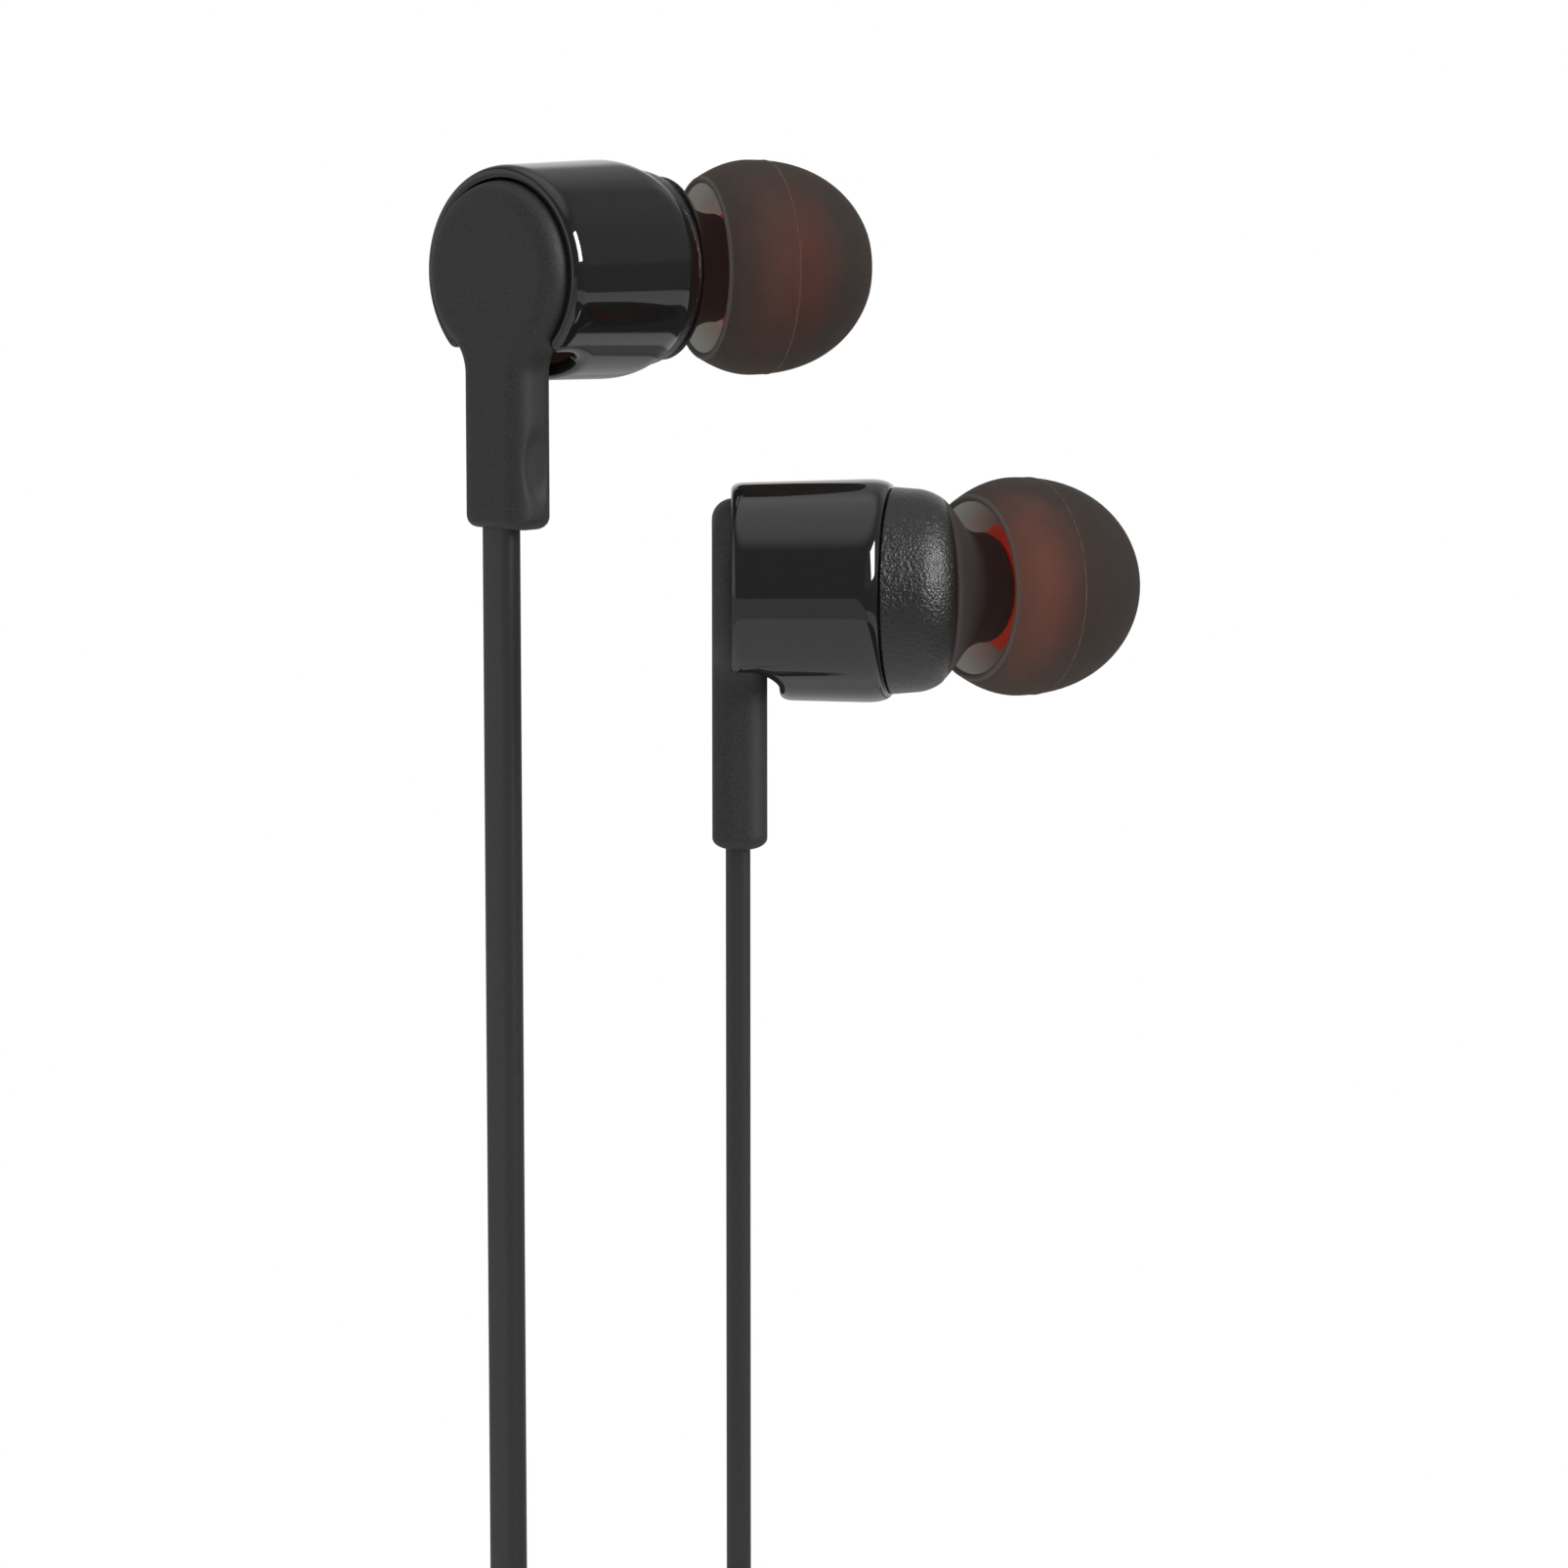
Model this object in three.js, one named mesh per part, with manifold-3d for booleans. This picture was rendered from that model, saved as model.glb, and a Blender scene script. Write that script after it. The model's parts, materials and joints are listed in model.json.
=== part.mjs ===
// Wired in-ear earphones: two earpieces with angled nozzles and silicone tips, flat cords, an in-line
// remote, a splitter and a 3.5 mm plug. Millimetres, +Z up, +Y away from whoever looks at the front.
// The origin is the centre of the right ear tip's mouth, where an ear holds the part.
import * as THREE from 'three';
import Module from 'manifold-3d';
import { mergeVertices } from 'three/addons/utils/BufferGeometryUtils.js';

// ---------------------------------------------------------------- driving dimensions

// Clearances
const seatGap = 0.12; // between two parts that seat on each other
const cordGap = 0.3; // between a cord's end and what it enters
const moveGap = 0.3; // beyond the travel of a part that moves
const glueGap = 0.05; // between glued parts

// Each earpiece has its own frame: +X along the housing from its rear edge towards the ear, +Z up,
// and +Y to the side that the nozzle turns to. The right earpiece is the mirror image of the left.
const shellLength = 9.12;
const shellRearRadius = 6.12;
const shellFrontRadius = 6.36;
const shellWall = 0.74;
const shellRearRound = 0.4;
const shellFrontRound = 0.7;
const seamTilt = 9.7; // degrees between the shell's two ends, longer on the nozzle's side
const notchDepth = 2.8;
const notchSideGap = 1.6; // beside the stem
const notchCorner = 1.8;

const capGap = 0.15; // round the cap in the shell
const capRise = 1.1; // behind the shell
const capPlate = 1.4;
const capSkirtWall = 0.8;

const stemWidth = 5.0;
const stemThickness = 3.12;
const stemDrop = 14.55; // from the housing's axis to the stem's lower end
const stemRound = 1.2; // along all its edges, and round the cap
const stemCorner = 1.4;
const stemBlend = 2.2; // radius between the disc and the stem
const stemDimpleDrop = 10.9;
const stemDimpleHeight = 5.1;
const stemDimpleWidth = 1.5;
const stemDimpleDepth = 0.22;

const cordWidth = 2.3;
const cordThickness = 1.4;
const cordOffset = 0.45; // of the cord in the stem, away from the nozzle's side
const cordSetBack = 0.1; // behind the stem's middle
const cordSlotGap = 0.15;
const cordSlotTop = 1.5; // below the housing's axis
const cordStep = 2.4; // widths of the cord between two points of a free stretch

const seamStep = 0.5; // from the shell's front radius down to the front housing
const spigotLength = 5.6;
const spigotWall = 0.53;
const bodyLength = 4.0; // from the shell's front to the front housing's face
const bodyTaper = 0.2; // of its radius from the seam to the face
const shoulderRound = 2.4;
const faceSlope = 1.0; // how far the face leans over from the shoulder to the neck
const neckBlend = 1.4;
const ledgeDepth = 3.22; // from the housing's face back to the driver's ledge
const ledgeRadius = 3.4;
const chamberDepth = 1.7; // of the chamber in front of the driver
const chamberCone = 0.6;

const nozzleSetBack = 4.645; // from the face to where the nozzle's axis crosses the housing's
const nozzleAngle = 27.7; // degrees
const neckRadius = 3.15;
const neckEnd = 7.0; // along the nozzle's axis from the pivot, as are the next lengths
const neckEndRound = 0.3;
const nozzleRadius = 2.35;
const lipRadius = 2.55;
const lipLength = 1.5;
const lipRearSlope = 0.3;
const lipFrontSlope = 0.4;
const nozzleEnd = 13.8;
const soundBore = 1.75;
const meshThickness = 0.3;
const meshSeat = 0.25;
const meshHole = 0.29;
const meshHoleRing = 1.05; // radius of the ring of holes

const tipRim = 6.05;
const tipRimRadius = 5.36;
const tipWidest = 8.78;
const tipRadius = 6.27;
const tipLead = 1.86; // the tip's mouth in front of the nozzle's end
const tipPoleLead = 0.57; // where the dome's curve would close, in front of the mouth
const tipMouthBore = 2.15;
const tipMouthRim = 0.3;
const tipMouthRound = 0.1;
const tipMouthLip = 0.25;
const tipWall = 0.45;
const domeFullness = 2.275; // exponent of the dome's curve: 2 is an ellipse
const skirtFullness = 1.87;
const tipWebWall = 0.55; // between the core's front and the dome's hollow
const coreLead = 0.25; // the core's front in front of the nozzle's end
const coreBoreGap = 0.15; // between the core's bore and the nozzle's lip
const coreWall = 0.95;
const coreChamfer = 0.2;

// Driver, from its cover back
const coverThickness = 0.4;
const coverHoles = 6;
const coverHoleRadius = 0.55;
const diaphragmTravel = 0.25;
const diaphragmFoil = 0.14;
const diaphragmRadius = 4.45;
const diaphragmRise = 0.1; // of its middle and of its outer roll
const coilRadius = 2.85;
const coilWall = 0.2;
const coilLength = 1.3;
const magnetGap = 0.2; // round the coil, inside and outside
const plateThickness = 0.5;
const magnetThickness = 1.1;
const magnetInset = 0.1; // of the magnet's edge from the pole plate's
const yokeWall = 0.5;
const frameWall = 0.3;
const frameDepth = 1.75;
const framePlate = 0.4;
const frameHoles = 4;
const frameHoleRadius = 0.28;
const feltThickness = 0.3;
const feltGap = 0.3; // round the yoke
const boardThickness = 0.5;
const boardWidth = 4.0;
const boardHeight = 2.4;
const crimpHeight = 3.0;
const crimpDrop = 9.6; // of the crimp's upper end below the housing's axis
const wireRadius = 0.32;
const wireStraight = 2.0; // at the crimp, and before the bend over the stem
const wireBend = 1.6; // how far the wire runs forward as it bends
const wireReach = 0.7; // of the wire behind the terminal board

// How the pair is held, seen from the front
const rightYaw = 47.8; // degrees that each housing points away from +X
const leftYaw = 0.8;
const leftRoll = -2.3; // about the housing's own axis
const leftShift = new THREE.Vector3(13.1, -3.28, -17.79); // rear edge centre, from the right one's

// Remote on the right leg
const remoteTop = -80;
const remoteHeight = 20;
const remoteWidth = 6.6;
const remoteDepth = 5.2;
const remoteWall = 0.8;
const remoteCorner = 1.6;
const remoteRound = 0.6;
const reliefLength = 4.0;
const reliefEndRadius = 1.5;
const reliefRootRadius = 2.1;
const buttonHeight = 7.0;
const buttonWidth = 3.6;
const buttonCorner = 0.8;
const buttonRound = 0.2;
const buttonProud = 0.5;
const buttonTravel = 0.3;
const buttonFlange = 0.4;
const buttonFlangeRim = 0.5; // of the flange beyond the button's outline
const boardDepth = 0.6;
const switchWidth = 2.2;
const switchDepth = 0.45;
const micRadius = 1.1;
const micDepth = 0.9;
const micHoleRadius = 0.35;
const micDrop = 7.1; // below the remote's middle

// The put-away cord: loops in planes of constant Y, bound at the waist
const hankCentre = new THREE.Vector3(-13.65, -13.2, -150);
const hankHalfRun = 22;
const hankColumnPitch = 2.76;
const hankLoopPitch = 1.87;
const hankInnerRadius = 4.9;
const hankLoops = 3; // in each of the main cord's two columns
const hankWaist = 2.6; // how far the tie draws each run in
const legColumn = 2.5; // columns from the hank's middle to each leg's outer loops
const rightLegRadius = 6.8;
const leftLegRadius = 9.66;
const foldSteps = 8;
const runSteps = 4;
const tieWall = 0.9;
const tieHeight = 4.0;
const tieGap = 0.35;
const tieCorner = 2.5;

const splitterTop = -192.3;
const splitterHeight = 12;
const splitterWidth = 7.8;
const splitterDepth = 4.2;
const splitterRound = 0.8;
const legSpacing = 3.4;
const returnRadius = 4.8; // of the main cord's turn below the splitter

// Plug
const plugTop = -187;
const plugReliefLength = 8;
const plugReliefRadius = 1.7;
const plugReliefRoot = 2.45;
const plugHandleLength = 13;
const plugHandleRadius = 3.4;
const plugHandleRound = 0.7;
const jackRadius = 1.75;
const jackCore = 0.9;
const jackSocket = 4; // depth of the core in the handle
const jackParts = { sleeve: 5.6, ring: 1.9, tip: 3.1, spacer: 0.55 };
const jackCollarInset = 0.1; // of the insulating collars below the contacts
const jackNeck = { at: 0.5, radius: 1.225 }; // the groove that a socket's spring drops into
const jackTipRear = 1.505;
const jackTipWidest = 1.3;
const jackNose = { length: 0.4, radius: 0.765 };
const jackTipWall = 0.9; // in front of the core

// ---------------------------------------------------------------- materials

const finish = (color, roughness, metalness = 0) =>
  new THREE.MeshStandardMaterial({ color, roughness, metalness });
const glossBlack = finish(0x141416, 0.08);
const matteCharcoal = finish(0x2a2928, 0.6);
const grainedBlack = finish(0x1c1c1c, 0.45);
const smokeSilicone = finish(0x3a3633, 0.55);
const redSilicone = finish(0x8c1f1a, 0.5);
const cordBlack = finish(0x2c2b2a, 0.5);
const steel = finish(0xa8a8aa, 0.35, 1);
const magnetGrey = finish(0x6a6a6e, 0.4, 1);
const copper = finish(0xb06a3a, 0.4, 1);
const clearFilm = finish(0xb9b4a4, 0.3);
const whitePlastic = finish(0xd8d6cf, 0.5);
const boardGreen = finish(0x1f4d2e, 0.5);
const feltGrey = finish(0x8b8880, 0.9);
const gold = finish(0xc9a24a, 0.25, 1);

// ---------------------------------------------------------------- solids

const wasm = await Module();
wasm.setup();
const degrees = THREE.MathUtils.degToRad;

// Shared vertices merged, and triangles without area dropped
function weld(geometry) {
  const bare = geometry.clone();
  bare.deleteAttribute('normal');
  bare.deleteAttribute('uv');
  const merged = mergeVertices(bare, 1e-4);
  const corners = merged.index.array;
  const kept = [];
  for (let i = 0; i < corners.length; i += 3) {
    const [a, b, c] = corners.slice(i, i + 3);
    if (a !== b && b !== c && c !== a) kept.push(a, b, c);
  }
  merged.setIndex(kept);
  return merged;
}

function toSolid(geometry) {
  const { attributes, index } = weld(geometry);
  return new wasm.Manifold(new wasm.Mesh({
    numProp: 3,
    vertProperties: new Float32Array(attributes.position.array),
    triVerts: new Uint32Array(index.array),
  }));
}

function toGeometry(solid) {
  const { vertProperties, triVerts } = solid.getMesh();
  const geometry = new THREE.BufferGeometry();
  geometry.setAttribute('position', new THREE.BufferAttribute(vertProperties, 3));
  geometry.setIndex(new THREE.BufferAttribute(triVerts, 1));
  geometry.computeVertexNormals();
  return geometry;
}

const join = (first, ...others) =>
  toGeometry(others.reduce((solid, other) => solid.add(toSolid(other)), toSolid(first)));
const cut = (first, ...tools) =>
  toGeometry(tools.reduce((solid, tool) => solid.subtract(toSolid(tool)), toSolid(first)));

// A profile of [x, radius] turned round the X axis: forward outside, back inside
function turned(profile, segments = 28) {
  const points = profile.map(([x, radius]) => new THREE.Vector2(radius, x));
  return new THREE.LatheGeometry(points, segments).rotateZ(-Math.PI / 2);
}

const rod = (start, end, radius, segments = 20) =>
  turned([[start, 0], [start, radius], [end, radius], [end, 0]], segments);

const ring = (start, end, inner, outer, segments = 20) =>
  turned([[start, inner], [start, outer], [end, outer], [end, inner], [start, inner]], segments);

// Points on an arc, from one angle to another in degrees
function arc(x, y, radius, from, to, steps) {
  return Array.from({ length: steps + 1 }, (_, i) => {
    const angle = degrees(from + ((to - from) * i) / steps);
    return [x + radius * Math.cos(angle), y + radius * Math.sin(angle)];
  });
}

// An open outline with its inner corners rounded: corners are [x, y, radius]
function rounded(corners, steps) {
  const points = corners.map(([x, y]) => new THREE.Vector2(x, y));
  return points.flatMap((corner, i) => {
    const radius = corners[i][2];
    if (!radius) return [corner];
    const back = points[i - 1].clone().sub(corner).normalize();
    const ahead = points[i + 1].clone().sub(corner).normalize();
    const half = Math.acos(THREE.MathUtils.clamp(back.dot(ahead), -1, 1)) / 2;
    const reach = radius / Math.tan(half);
    const start = corner.clone().addScaledVector(back, reach);
    const end = corner.clone().addScaledVector(ahead, reach);
    const middle = back.clone().add(ahead).setLength(radius / Math.sin(half)).add(corner);
    const from = start.clone().sub(middle);
    const sweep = Math.atan2(from.cross(end.clone().sub(middle)), from.dot(end.clone().sub(middle)));
    return Array.from({ length: steps + 1 }, (_, k) =>
      from.clone().rotateAround(new THREE.Vector2(), (sweep * k) / steps).add(middle));
  });
}

// A skin over rings of points, closed by a fan at each end
function skin(rings) {
  const count = rings[0].length;
  const vertices = rings.flat();
  const index = [];
  for (let base = 0; base < vertices.length - count; base += count) {
    for (let i = 0; i < count; i += 1) {
      const a = base + i;
      const b = base + ((i + 1) % count);
      index.push(a, b, b + count, a, b + count, a + count);
    }
  }
  const last = vertices.length - count;
  for (let i = 1; i + 1 < count; i += 1) {
    index.push(0, i + 1, i, last, last + i, last + i + 1);
  }
  const geometry = new THREE.BufferGeometry().setFromPoints(vertices);
  geometry.setIndex(index);
  geometry.computeVertexNormals();
  return geometry;
}

function roundedRectangle(width, height, corner) {
  const shape = new THREE.Shape();
  const x = width / 2;
  const y = height / 2;
  shape.moveTo(x, -y + corner);
  shape.absarc(x - corner, y - corner, corner, 0, Math.PI / 2);
  shape.absarc(-x + corner, y - corner, corner, Math.PI / 2, Math.PI);
  shape.absarc(-x + corner, -y + corner, corner, Math.PI, 1.5 * Math.PI);
  shape.absarc(x - corner, -y + corner, corner, 1.5 * Math.PI, 2 * Math.PI);
  return shape;
}

// A block with an outline in X and Y, rounded over at both ends of its height, from Z = 0 up
function softBlock(width, depth, height, corner, round, curveSegments = 3) {
  const shape = roundedRectangle(width - 2 * round, depth - 2 * round, Math.max(corner - round, 0.02));
  const block = new THREE.ExtrudeGeometry(shape, {
    depth: height - 2 * round,
    bevelSize: round,
    bevelThickness: round,
    bevelSegments: 2,
    curveSegments,
  });
  return block.translate(0, 0, round);
}

const box = (width, depth, height, x = 0, y = 0, z = 0) =>
  new THREE.BoxGeometry(width, depth, height).translate(x, y, z);

function part(name, geometry, material) {
  const mesh = new THREE.Mesh(geometry, material);
  mesh.name = name;
  return mesh;
}

// ---------------------------------------------------------------- earpiece housing

const shellBore = shellRearRadius - shellWall;
const capRadius = shellBore - capGap;
const bodyRadius = shellFrontRadius - seamStep;
const spigotRadius = shellBore - seatGap;
const driverBore = spigotRadius - spigotWall;
const driverRadius = driverBore - seatGap;
const bodyFace = shellLength + bodyLength;
const ledge = bodyFace - ledgeDepth;
const nozzlePivot = bodyFace - nozzleSetBack;
const tipMouth = nozzleEnd + tipLead;
const tipPole = tipMouth + tipPoleLead;
const coreFront = nozzleEnd + coreLead;
const seam = shellLength + seatGap;
const tiltSlope = Math.tan(degrees(seamTilt));
const stemCentre = stemThickness / 2 - capRise;
const cordX = stemCentre - cordSetBack;

// A point on the nozzle's axis or beside it, in the earpiece's plan
function besideNozzle(along, aside) {
  const angle = degrees(nozzleAngle);
  return new THREE.Vector2(
    nozzlePivot + along * Math.cos(angle) - aside * Math.sin(angle),
    along * Math.sin(angle) + aside * Math.cos(angle),
  );
}

// From the nozzle's own frame into the earpiece's
const onNozzle = (geometry) =>
  geometry.rotateZ(degrees(nozzleAngle)).translate(nozzlePivot, 0, 0);

// Slides the points of a tube along X, so that its front end lies in the seam's tilted plane
function tiltFront(geometry) {
  const { position } = geometry.attributes;
  for (let i = 0; i < position.count; i += 1) {
    const share = position.getX(i) / shellLength;
    position.setX(i, position.getX(i) + position.getY(i) * tiltSlope * share);
  }
  return geometry;
}

function outerShell() {
  const rear = shellRearRound;
  const front = shellFrontRound;
  const tube = turned([
    [0, shellBore],
    ...arc(rear, shellRearRadius - rear, rear, 180, 90, 2),
    ...arc(shellLength - front, shellFrontRadius - front, front, 90, 0, 3),
    [shellLength, shellBore],
    [0, shellBore],
  ], 32);
  const width = stemWidth + 2 * notchSideGap;
  const reach = 2 * notchDepth;
  const outline = roundedRectangle(reach, width, notchCorner);
  const notch = new THREE.ExtrudeGeometry(outline, {
    depth: 2 * shellRearRadius,
    bevelEnabled: false,
    curveSegments: 4,
  });
  return cut(tiltFront(tube), notch.translate(notchDepth - reach / 2, 0, -2.5 * shellRearRadius));
}

// The cap's outline in Y and Z, drawn in by the round along its edges: the disc, the stem, and an arc
// on each side that touches both
function capOutline() {
  const round = stemRound;
  const blend = stemBlend + round;
  const halfWidth = stemWidth / 2 - round;
  const blendY = stemWidth / 2 + stemBlend;
  const blendZ = -Math.sqrt((capRadius + stemBlend) ** 2 - blendY ** 2);
  const touch = THREE.MathUtils.radToDeg(Math.atan2(-blendZ, blendY));
  const low = round - stemDrop;
  const corner = stemCorner - round;
  const points = [
    ...arc(-blendY, blendZ, blend, touch, 0, 3),
    ...arc(corner - halfWidth, low + corner, corner, 180, 270, 2),
    ...arc(halfWidth - corner, low + corner, corner, 270, 360, 2),
    ...arc(blendY, blendZ, blend, 180, 180 - touch, 3),
    ...arc(0, 0, capRadius - round, -touch, 180 + touch, 20).slice(1, -1),
  ];
  return new THREE.Shape(points.map(([y, z]) => new THREE.Vector2(y, z)));
}

function rearCap() {
  const plate = new THREE.ExtrudeGeometry(capOutline(), {
    depth: stemThickness - 2 * stemRound,
    bevelSize: stemRound,
    bevelThickness: stemRound,
    bevelSegments: 3,
  });
  plate.rotateX(Math.PI / 2).rotateZ(Math.PI / 2).translate(stemRound - capRise, 0, 0);
  const hollow = rod(capPlate - capRise, stemThickness, capRadius - capSkirtWall, 24);
  const slot = new THREE.ExtrudeGeometry(roundedRectangle(
    cordThickness + 2 * cordSlotGap, cordWidth + 2 * cordSlotGap, cordThickness / 2,
  ), { depth: 2 * stemDrop, bevelEnabled: false, curveSegments: 2 });
  slot.translate(cordX, -cordOffset, -cordSlotTop - 2 * stemDrop);
  const dimple = new THREE.SphereGeometry(1, 8, 8);
  dimple.scale(stemDimpleWidth / 2, stemDimpleDepth, stemDimpleHeight / 2);
  dimple.translate(stemCentre, stemWidth / 2, -stemDimpleDrop);
  return cut(plate, hollow, slot, dimple);
}

// The front housing's outside is one skin of rings, from the spigot's rear end to the nozzle's mouth.
// Each ring is an ellipse on two points of the plan, one on each side, and a half height.
const roundRing = (x, radius) => ({
  far: new THREE.Vector2(x, -radius), near: new THREE.Vector2(x, radius), height: radius,
});

const nozzleRing = ([along, radius]) => ({
  far: besideNozzle(along, -radius), near: besideNozzle(along, radius), height: radius,
});

function shoulderRings() {
  const tilt = bodyRadius * tiltSlope;
  const shoulder = bodyRadius - bodyTaper;
  const { far: farNeck, near: nearNeck } = nozzleRing([tipRim, neckRadius]);
  const rootX = besideNozzle(0, -neckRadius).x;
  const reach = (bodyFace - rootX) / Math.cos(degrees(nozzleAngle));
  const farRoot = besideNozzle(reach, -neckRadius);
  const nearRoot = besideNozzle(tipRim - neckBlend, neckRadius - neckBlend / 6);
  const steps = 3;
  const far = rounded([
    [seam - tilt, -bodyRadius], [bodyFace - faceSlope / 2, -shoulder, shoulderRound],
    [farRoot.x, farRoot.y, neckBlend / 2], [farNeck.x, farNeck.y],
  ], steps);
  const near = rounded([
    [seam + tilt, bodyRadius], [seam + tilt + seamStep, bodyRadius, seamStep],
    [nearRoot.x, nearRoot.y, neckBlend / 2], [nearNeck.x, nearNeck.y],
  ], steps);
  const height = rounded([
    [seam, bodyRadius], [bodyFace - faceSlope, shoulder, shoulderRound],
    [bodyFace, neckRadius, neckBlend], [bodyFace + 2 * neckBlend, neckRadius],
  ], steps);
  return far.map((point, i) => ({ far: point, near: near[i], height: height[i].y }));
}

function ellipse({ far, near, height }) {
  const count = 22;
  return Array.from({ length: count }, (_, i) => {
    const angle = (2 * Math.PI * i) / count;
    const place = far.clone().lerp(near, (1 + Math.cos(angle)) / 2);
    return new THREE.Vector3(place.x, place.y, height * Math.sin(angle));
  });
}

function frontHousing() {
  const spigotEnd = shellLength - spigotLength;
  const tilt = tiltSlope * spigotRadius;
  const lipStart = nozzleEnd - lipLength;
  const rings = [
    roundRing(spigotEnd, spigotRadius),
    {
      far: new THREE.Vector2(seam - tilt, -spigotRadius),
      near: new THREE.Vector2(seam + tilt, spigotRadius),
      height: spigotRadius,
    },
    ...shoulderRings(),
    ...[
      [neckEnd - neckEndRound, neckRadius], [neckEnd, neckRadius - neckEndRound],
      [neckEnd, nozzleRadius], [lipStart, nozzleRadius], [lipStart + lipRearSlope, lipRadius],
      [nozzleEnd - lipFrontSlope, lipRadius], [nozzleEnd, nozzleRadius],
    ].map(nozzleRing),
  ];
  const bore = turned([
    [spigotEnd - 1, 0], [spigotEnd - 1, driverBore], [ledge, driverBore], [ledge, ledgeRadius],
    [ledge + chamberDepth - chamberCone, ledgeRadius], [ledge + chamberDepth, soundBore],
    [ledge + chamberDepth, 0],
  ], 22);
  const sound = rod(neckEnd / 3, nozzleEnd + 1, soundBore, 16);
  const seat = rod(nozzleEnd - meshSeat - meshThickness, nozzleEnd + 1, soundBore + meshSeat, 16);
  return cut(skin(rings.map(ellipse)), bore, onNozzle(sound), onNozzle(seat));
}

// A thin disc across the X axis, pierced by rings of holes
function piercedDisc(radius, thickness, rings, segments) {
  const shape = new THREE.Shape();
  shape.absarc(0, 0, radius, 0, 2 * Math.PI);
  for (const { count, at, hole } of rings) {
    for (let i = 0; i < count; i += 1) {
      const angle = (2 * Math.PI * i) / count;
      const path = new THREE.Path();
      path.absarc(at * Math.cos(angle), at * Math.sin(angle), hole, 0, 2 * Math.PI, true);
      shape.holes.push(path);
    }
  }
  const disc = new THREE.ExtrudeGeometry(shape, {
    depth: thickness,
    bevelEnabled: false,
    curveSegments: segments,
  });
  return disc.rotateY(Math.PI / 2);
}

function nozzleMesh() {
  const hole = meshHole;
  const rings = [{ count: 1, at: 0, hole }, { count: 7, at: meshHoleRing, hole }];
  const disc = piercedDisc(soundBore + meshSeat - seatGap, meshThickness, rings, 3);
  return onNozzle(disc.translate(nozzleEnd - meshSeat - meshThickness + seatGap, 0, 0));
}

// ---------------------------------------------------------------- ear tip

const coreBore = lipRadius + coreBoreGap;
const coreRadius = coreBore + coreWall;
const coreRear = neckEnd + seatGap;

// The dome's outline from its widest place on to the pole
function domeRadius(along, widest, pole) {
  const share = (along - tipWidest) / (pole - tipWidest);
  return widest * Math.sqrt(Math.max(0, 1 - share ** domeFullness));
}

function earTipDome() {
  const skirtSteps = 3;
  const domeSteps = 5;
  const skirt = (start, rim, widest) => Array.from({ length: skirtSteps + 1 }, (_, i) => {
    const share = 1 - i / skirtSteps;
    return [
      tipWidest - (tipWidest - start) * share, widest - (widest - rim) * share ** skirtFullness,
    ];
  });
  const dome = (end, widest, pole) => Array.from({ length: domeSteps }, (_, i) => {
    const along = tipWidest + (end - tipWidest) * Math.sin(((i + 1) / domeSteps) * (Math.PI / 2));
    return [along, domeRadius(along, widest, pole)];
  });
  const seat = coreRadius + seatGap;
  const innerPole = coreFront + tipWebWall;
  const innerWidest = tipRadius - tipWall;
  const seatShare = Math.sqrt(1 - (seat / innerWidest) ** 2);
  const innerEnd = tipWidest + (innerPole - tipWidest) * seatShare ** (2 / domeFullness);
  const outside = [
    ...skirt(tipRim, tipRimRadius, tipRadius),
    ...dome(tipMouth - tipMouthRound, tipRadius, tipPole),
  ];
  const inside = [
    ...skirt(tipRim, tipRimRadius - tipWall, innerWidest),
    ...dome(innerEnd, innerWidest, innerPole),
  ];
  return onNozzle(turned([
    ...outside,
    [tipMouth, tipMouthBore + tipMouthRim],
    [tipMouth - tipMouthLip, tipMouthBore],
    [coreFront + seatGap, tipMouthBore],
    [coreFront + seatGap, seat],
    ...inside.reverse(),
    outside[0],
  ], 24));
}

function earTipCore() {
  return onNozzle(turned([
    [coreRear, coreBore], [coreRear, coreRadius - coreChamfer], [coreRear + coreChamfer, coreRadius],
    [coreFront, coreRadius], [coreFront, coreBore], [coreRear, coreBore],
  ], 20));
}

// ---------------------------------------------------------------- driver

const coverFront = ledge - seatGap;
const coverRear = coverFront - coverThickness;
const diaphragmFront = coverRear - diaphragmTravel - moveGap / 2;
const diaphragmRear = diaphragmFront - diaphragmFoil;
const coilFront = diaphragmRear - seatGap / 2;
const frameFront = diaphragmRear - diaphragmTravel - moveGap / 2;
const frameRear = frameFront - frameDepth;
const plateRadius = coilRadius - coilWall / 2 - magnetGap;
const yokeBore = coilRadius + coilWall / 2 + magnetGap;
const plateFront = coilFront - moveGap - diaphragmTravel;
const plateRear = plateFront - plateThickness;
const magnetFront = plateRear - glueGap;
const magnetRear = magnetFront - magnetThickness;
const yokeFloor = magnetRear - glueGap;
const yokeRear = yokeFloor - yokeWall;

function diaphragm() {
  const foil = diaphragmFoil;
  const roll = (coilRadius + diaphragmRadius) / 2;
  const crown = diaphragmFront + diaphragmRise;
  const front = [
    [crown, 0], [crown - diaphragmRise / 5, coilRadius / 2], [diaphragmFront, coilRadius],
    [crown, roll], [diaphragmFront, diaphragmRadius],
  ];
  const rear = front.map(([x, radius]) => [x - foil, radius]).reverse();
  return turned([...front, ...rear].reverse(), 18);
}

function driverFrame() {
  const collar = yokeBore + yokeWall + seatGap;
  const wall = ring(frameRear, frameFront, driverRadius - frameWall, driverRadius);
  const plate = ring(frameRear, frameRear + framePlate, collar, driverRadius - frameWall / 2);
  const at = (collar + driverRadius - frameWall) / 2;
  const holes = Array.from({ length: frameHoles }, (_, i) => {
    const angle = (2 * Math.PI * i) / frameHoles;
    const hole = rod(frameRear - 1, frameRear + framePlate + 1, frameHoleRadius, 6);
    return hole.translate(0, at * Math.cos(angle), at * Math.sin(angle));
  });
  return cut(join(wall, plate), ...holes);
}

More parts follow.
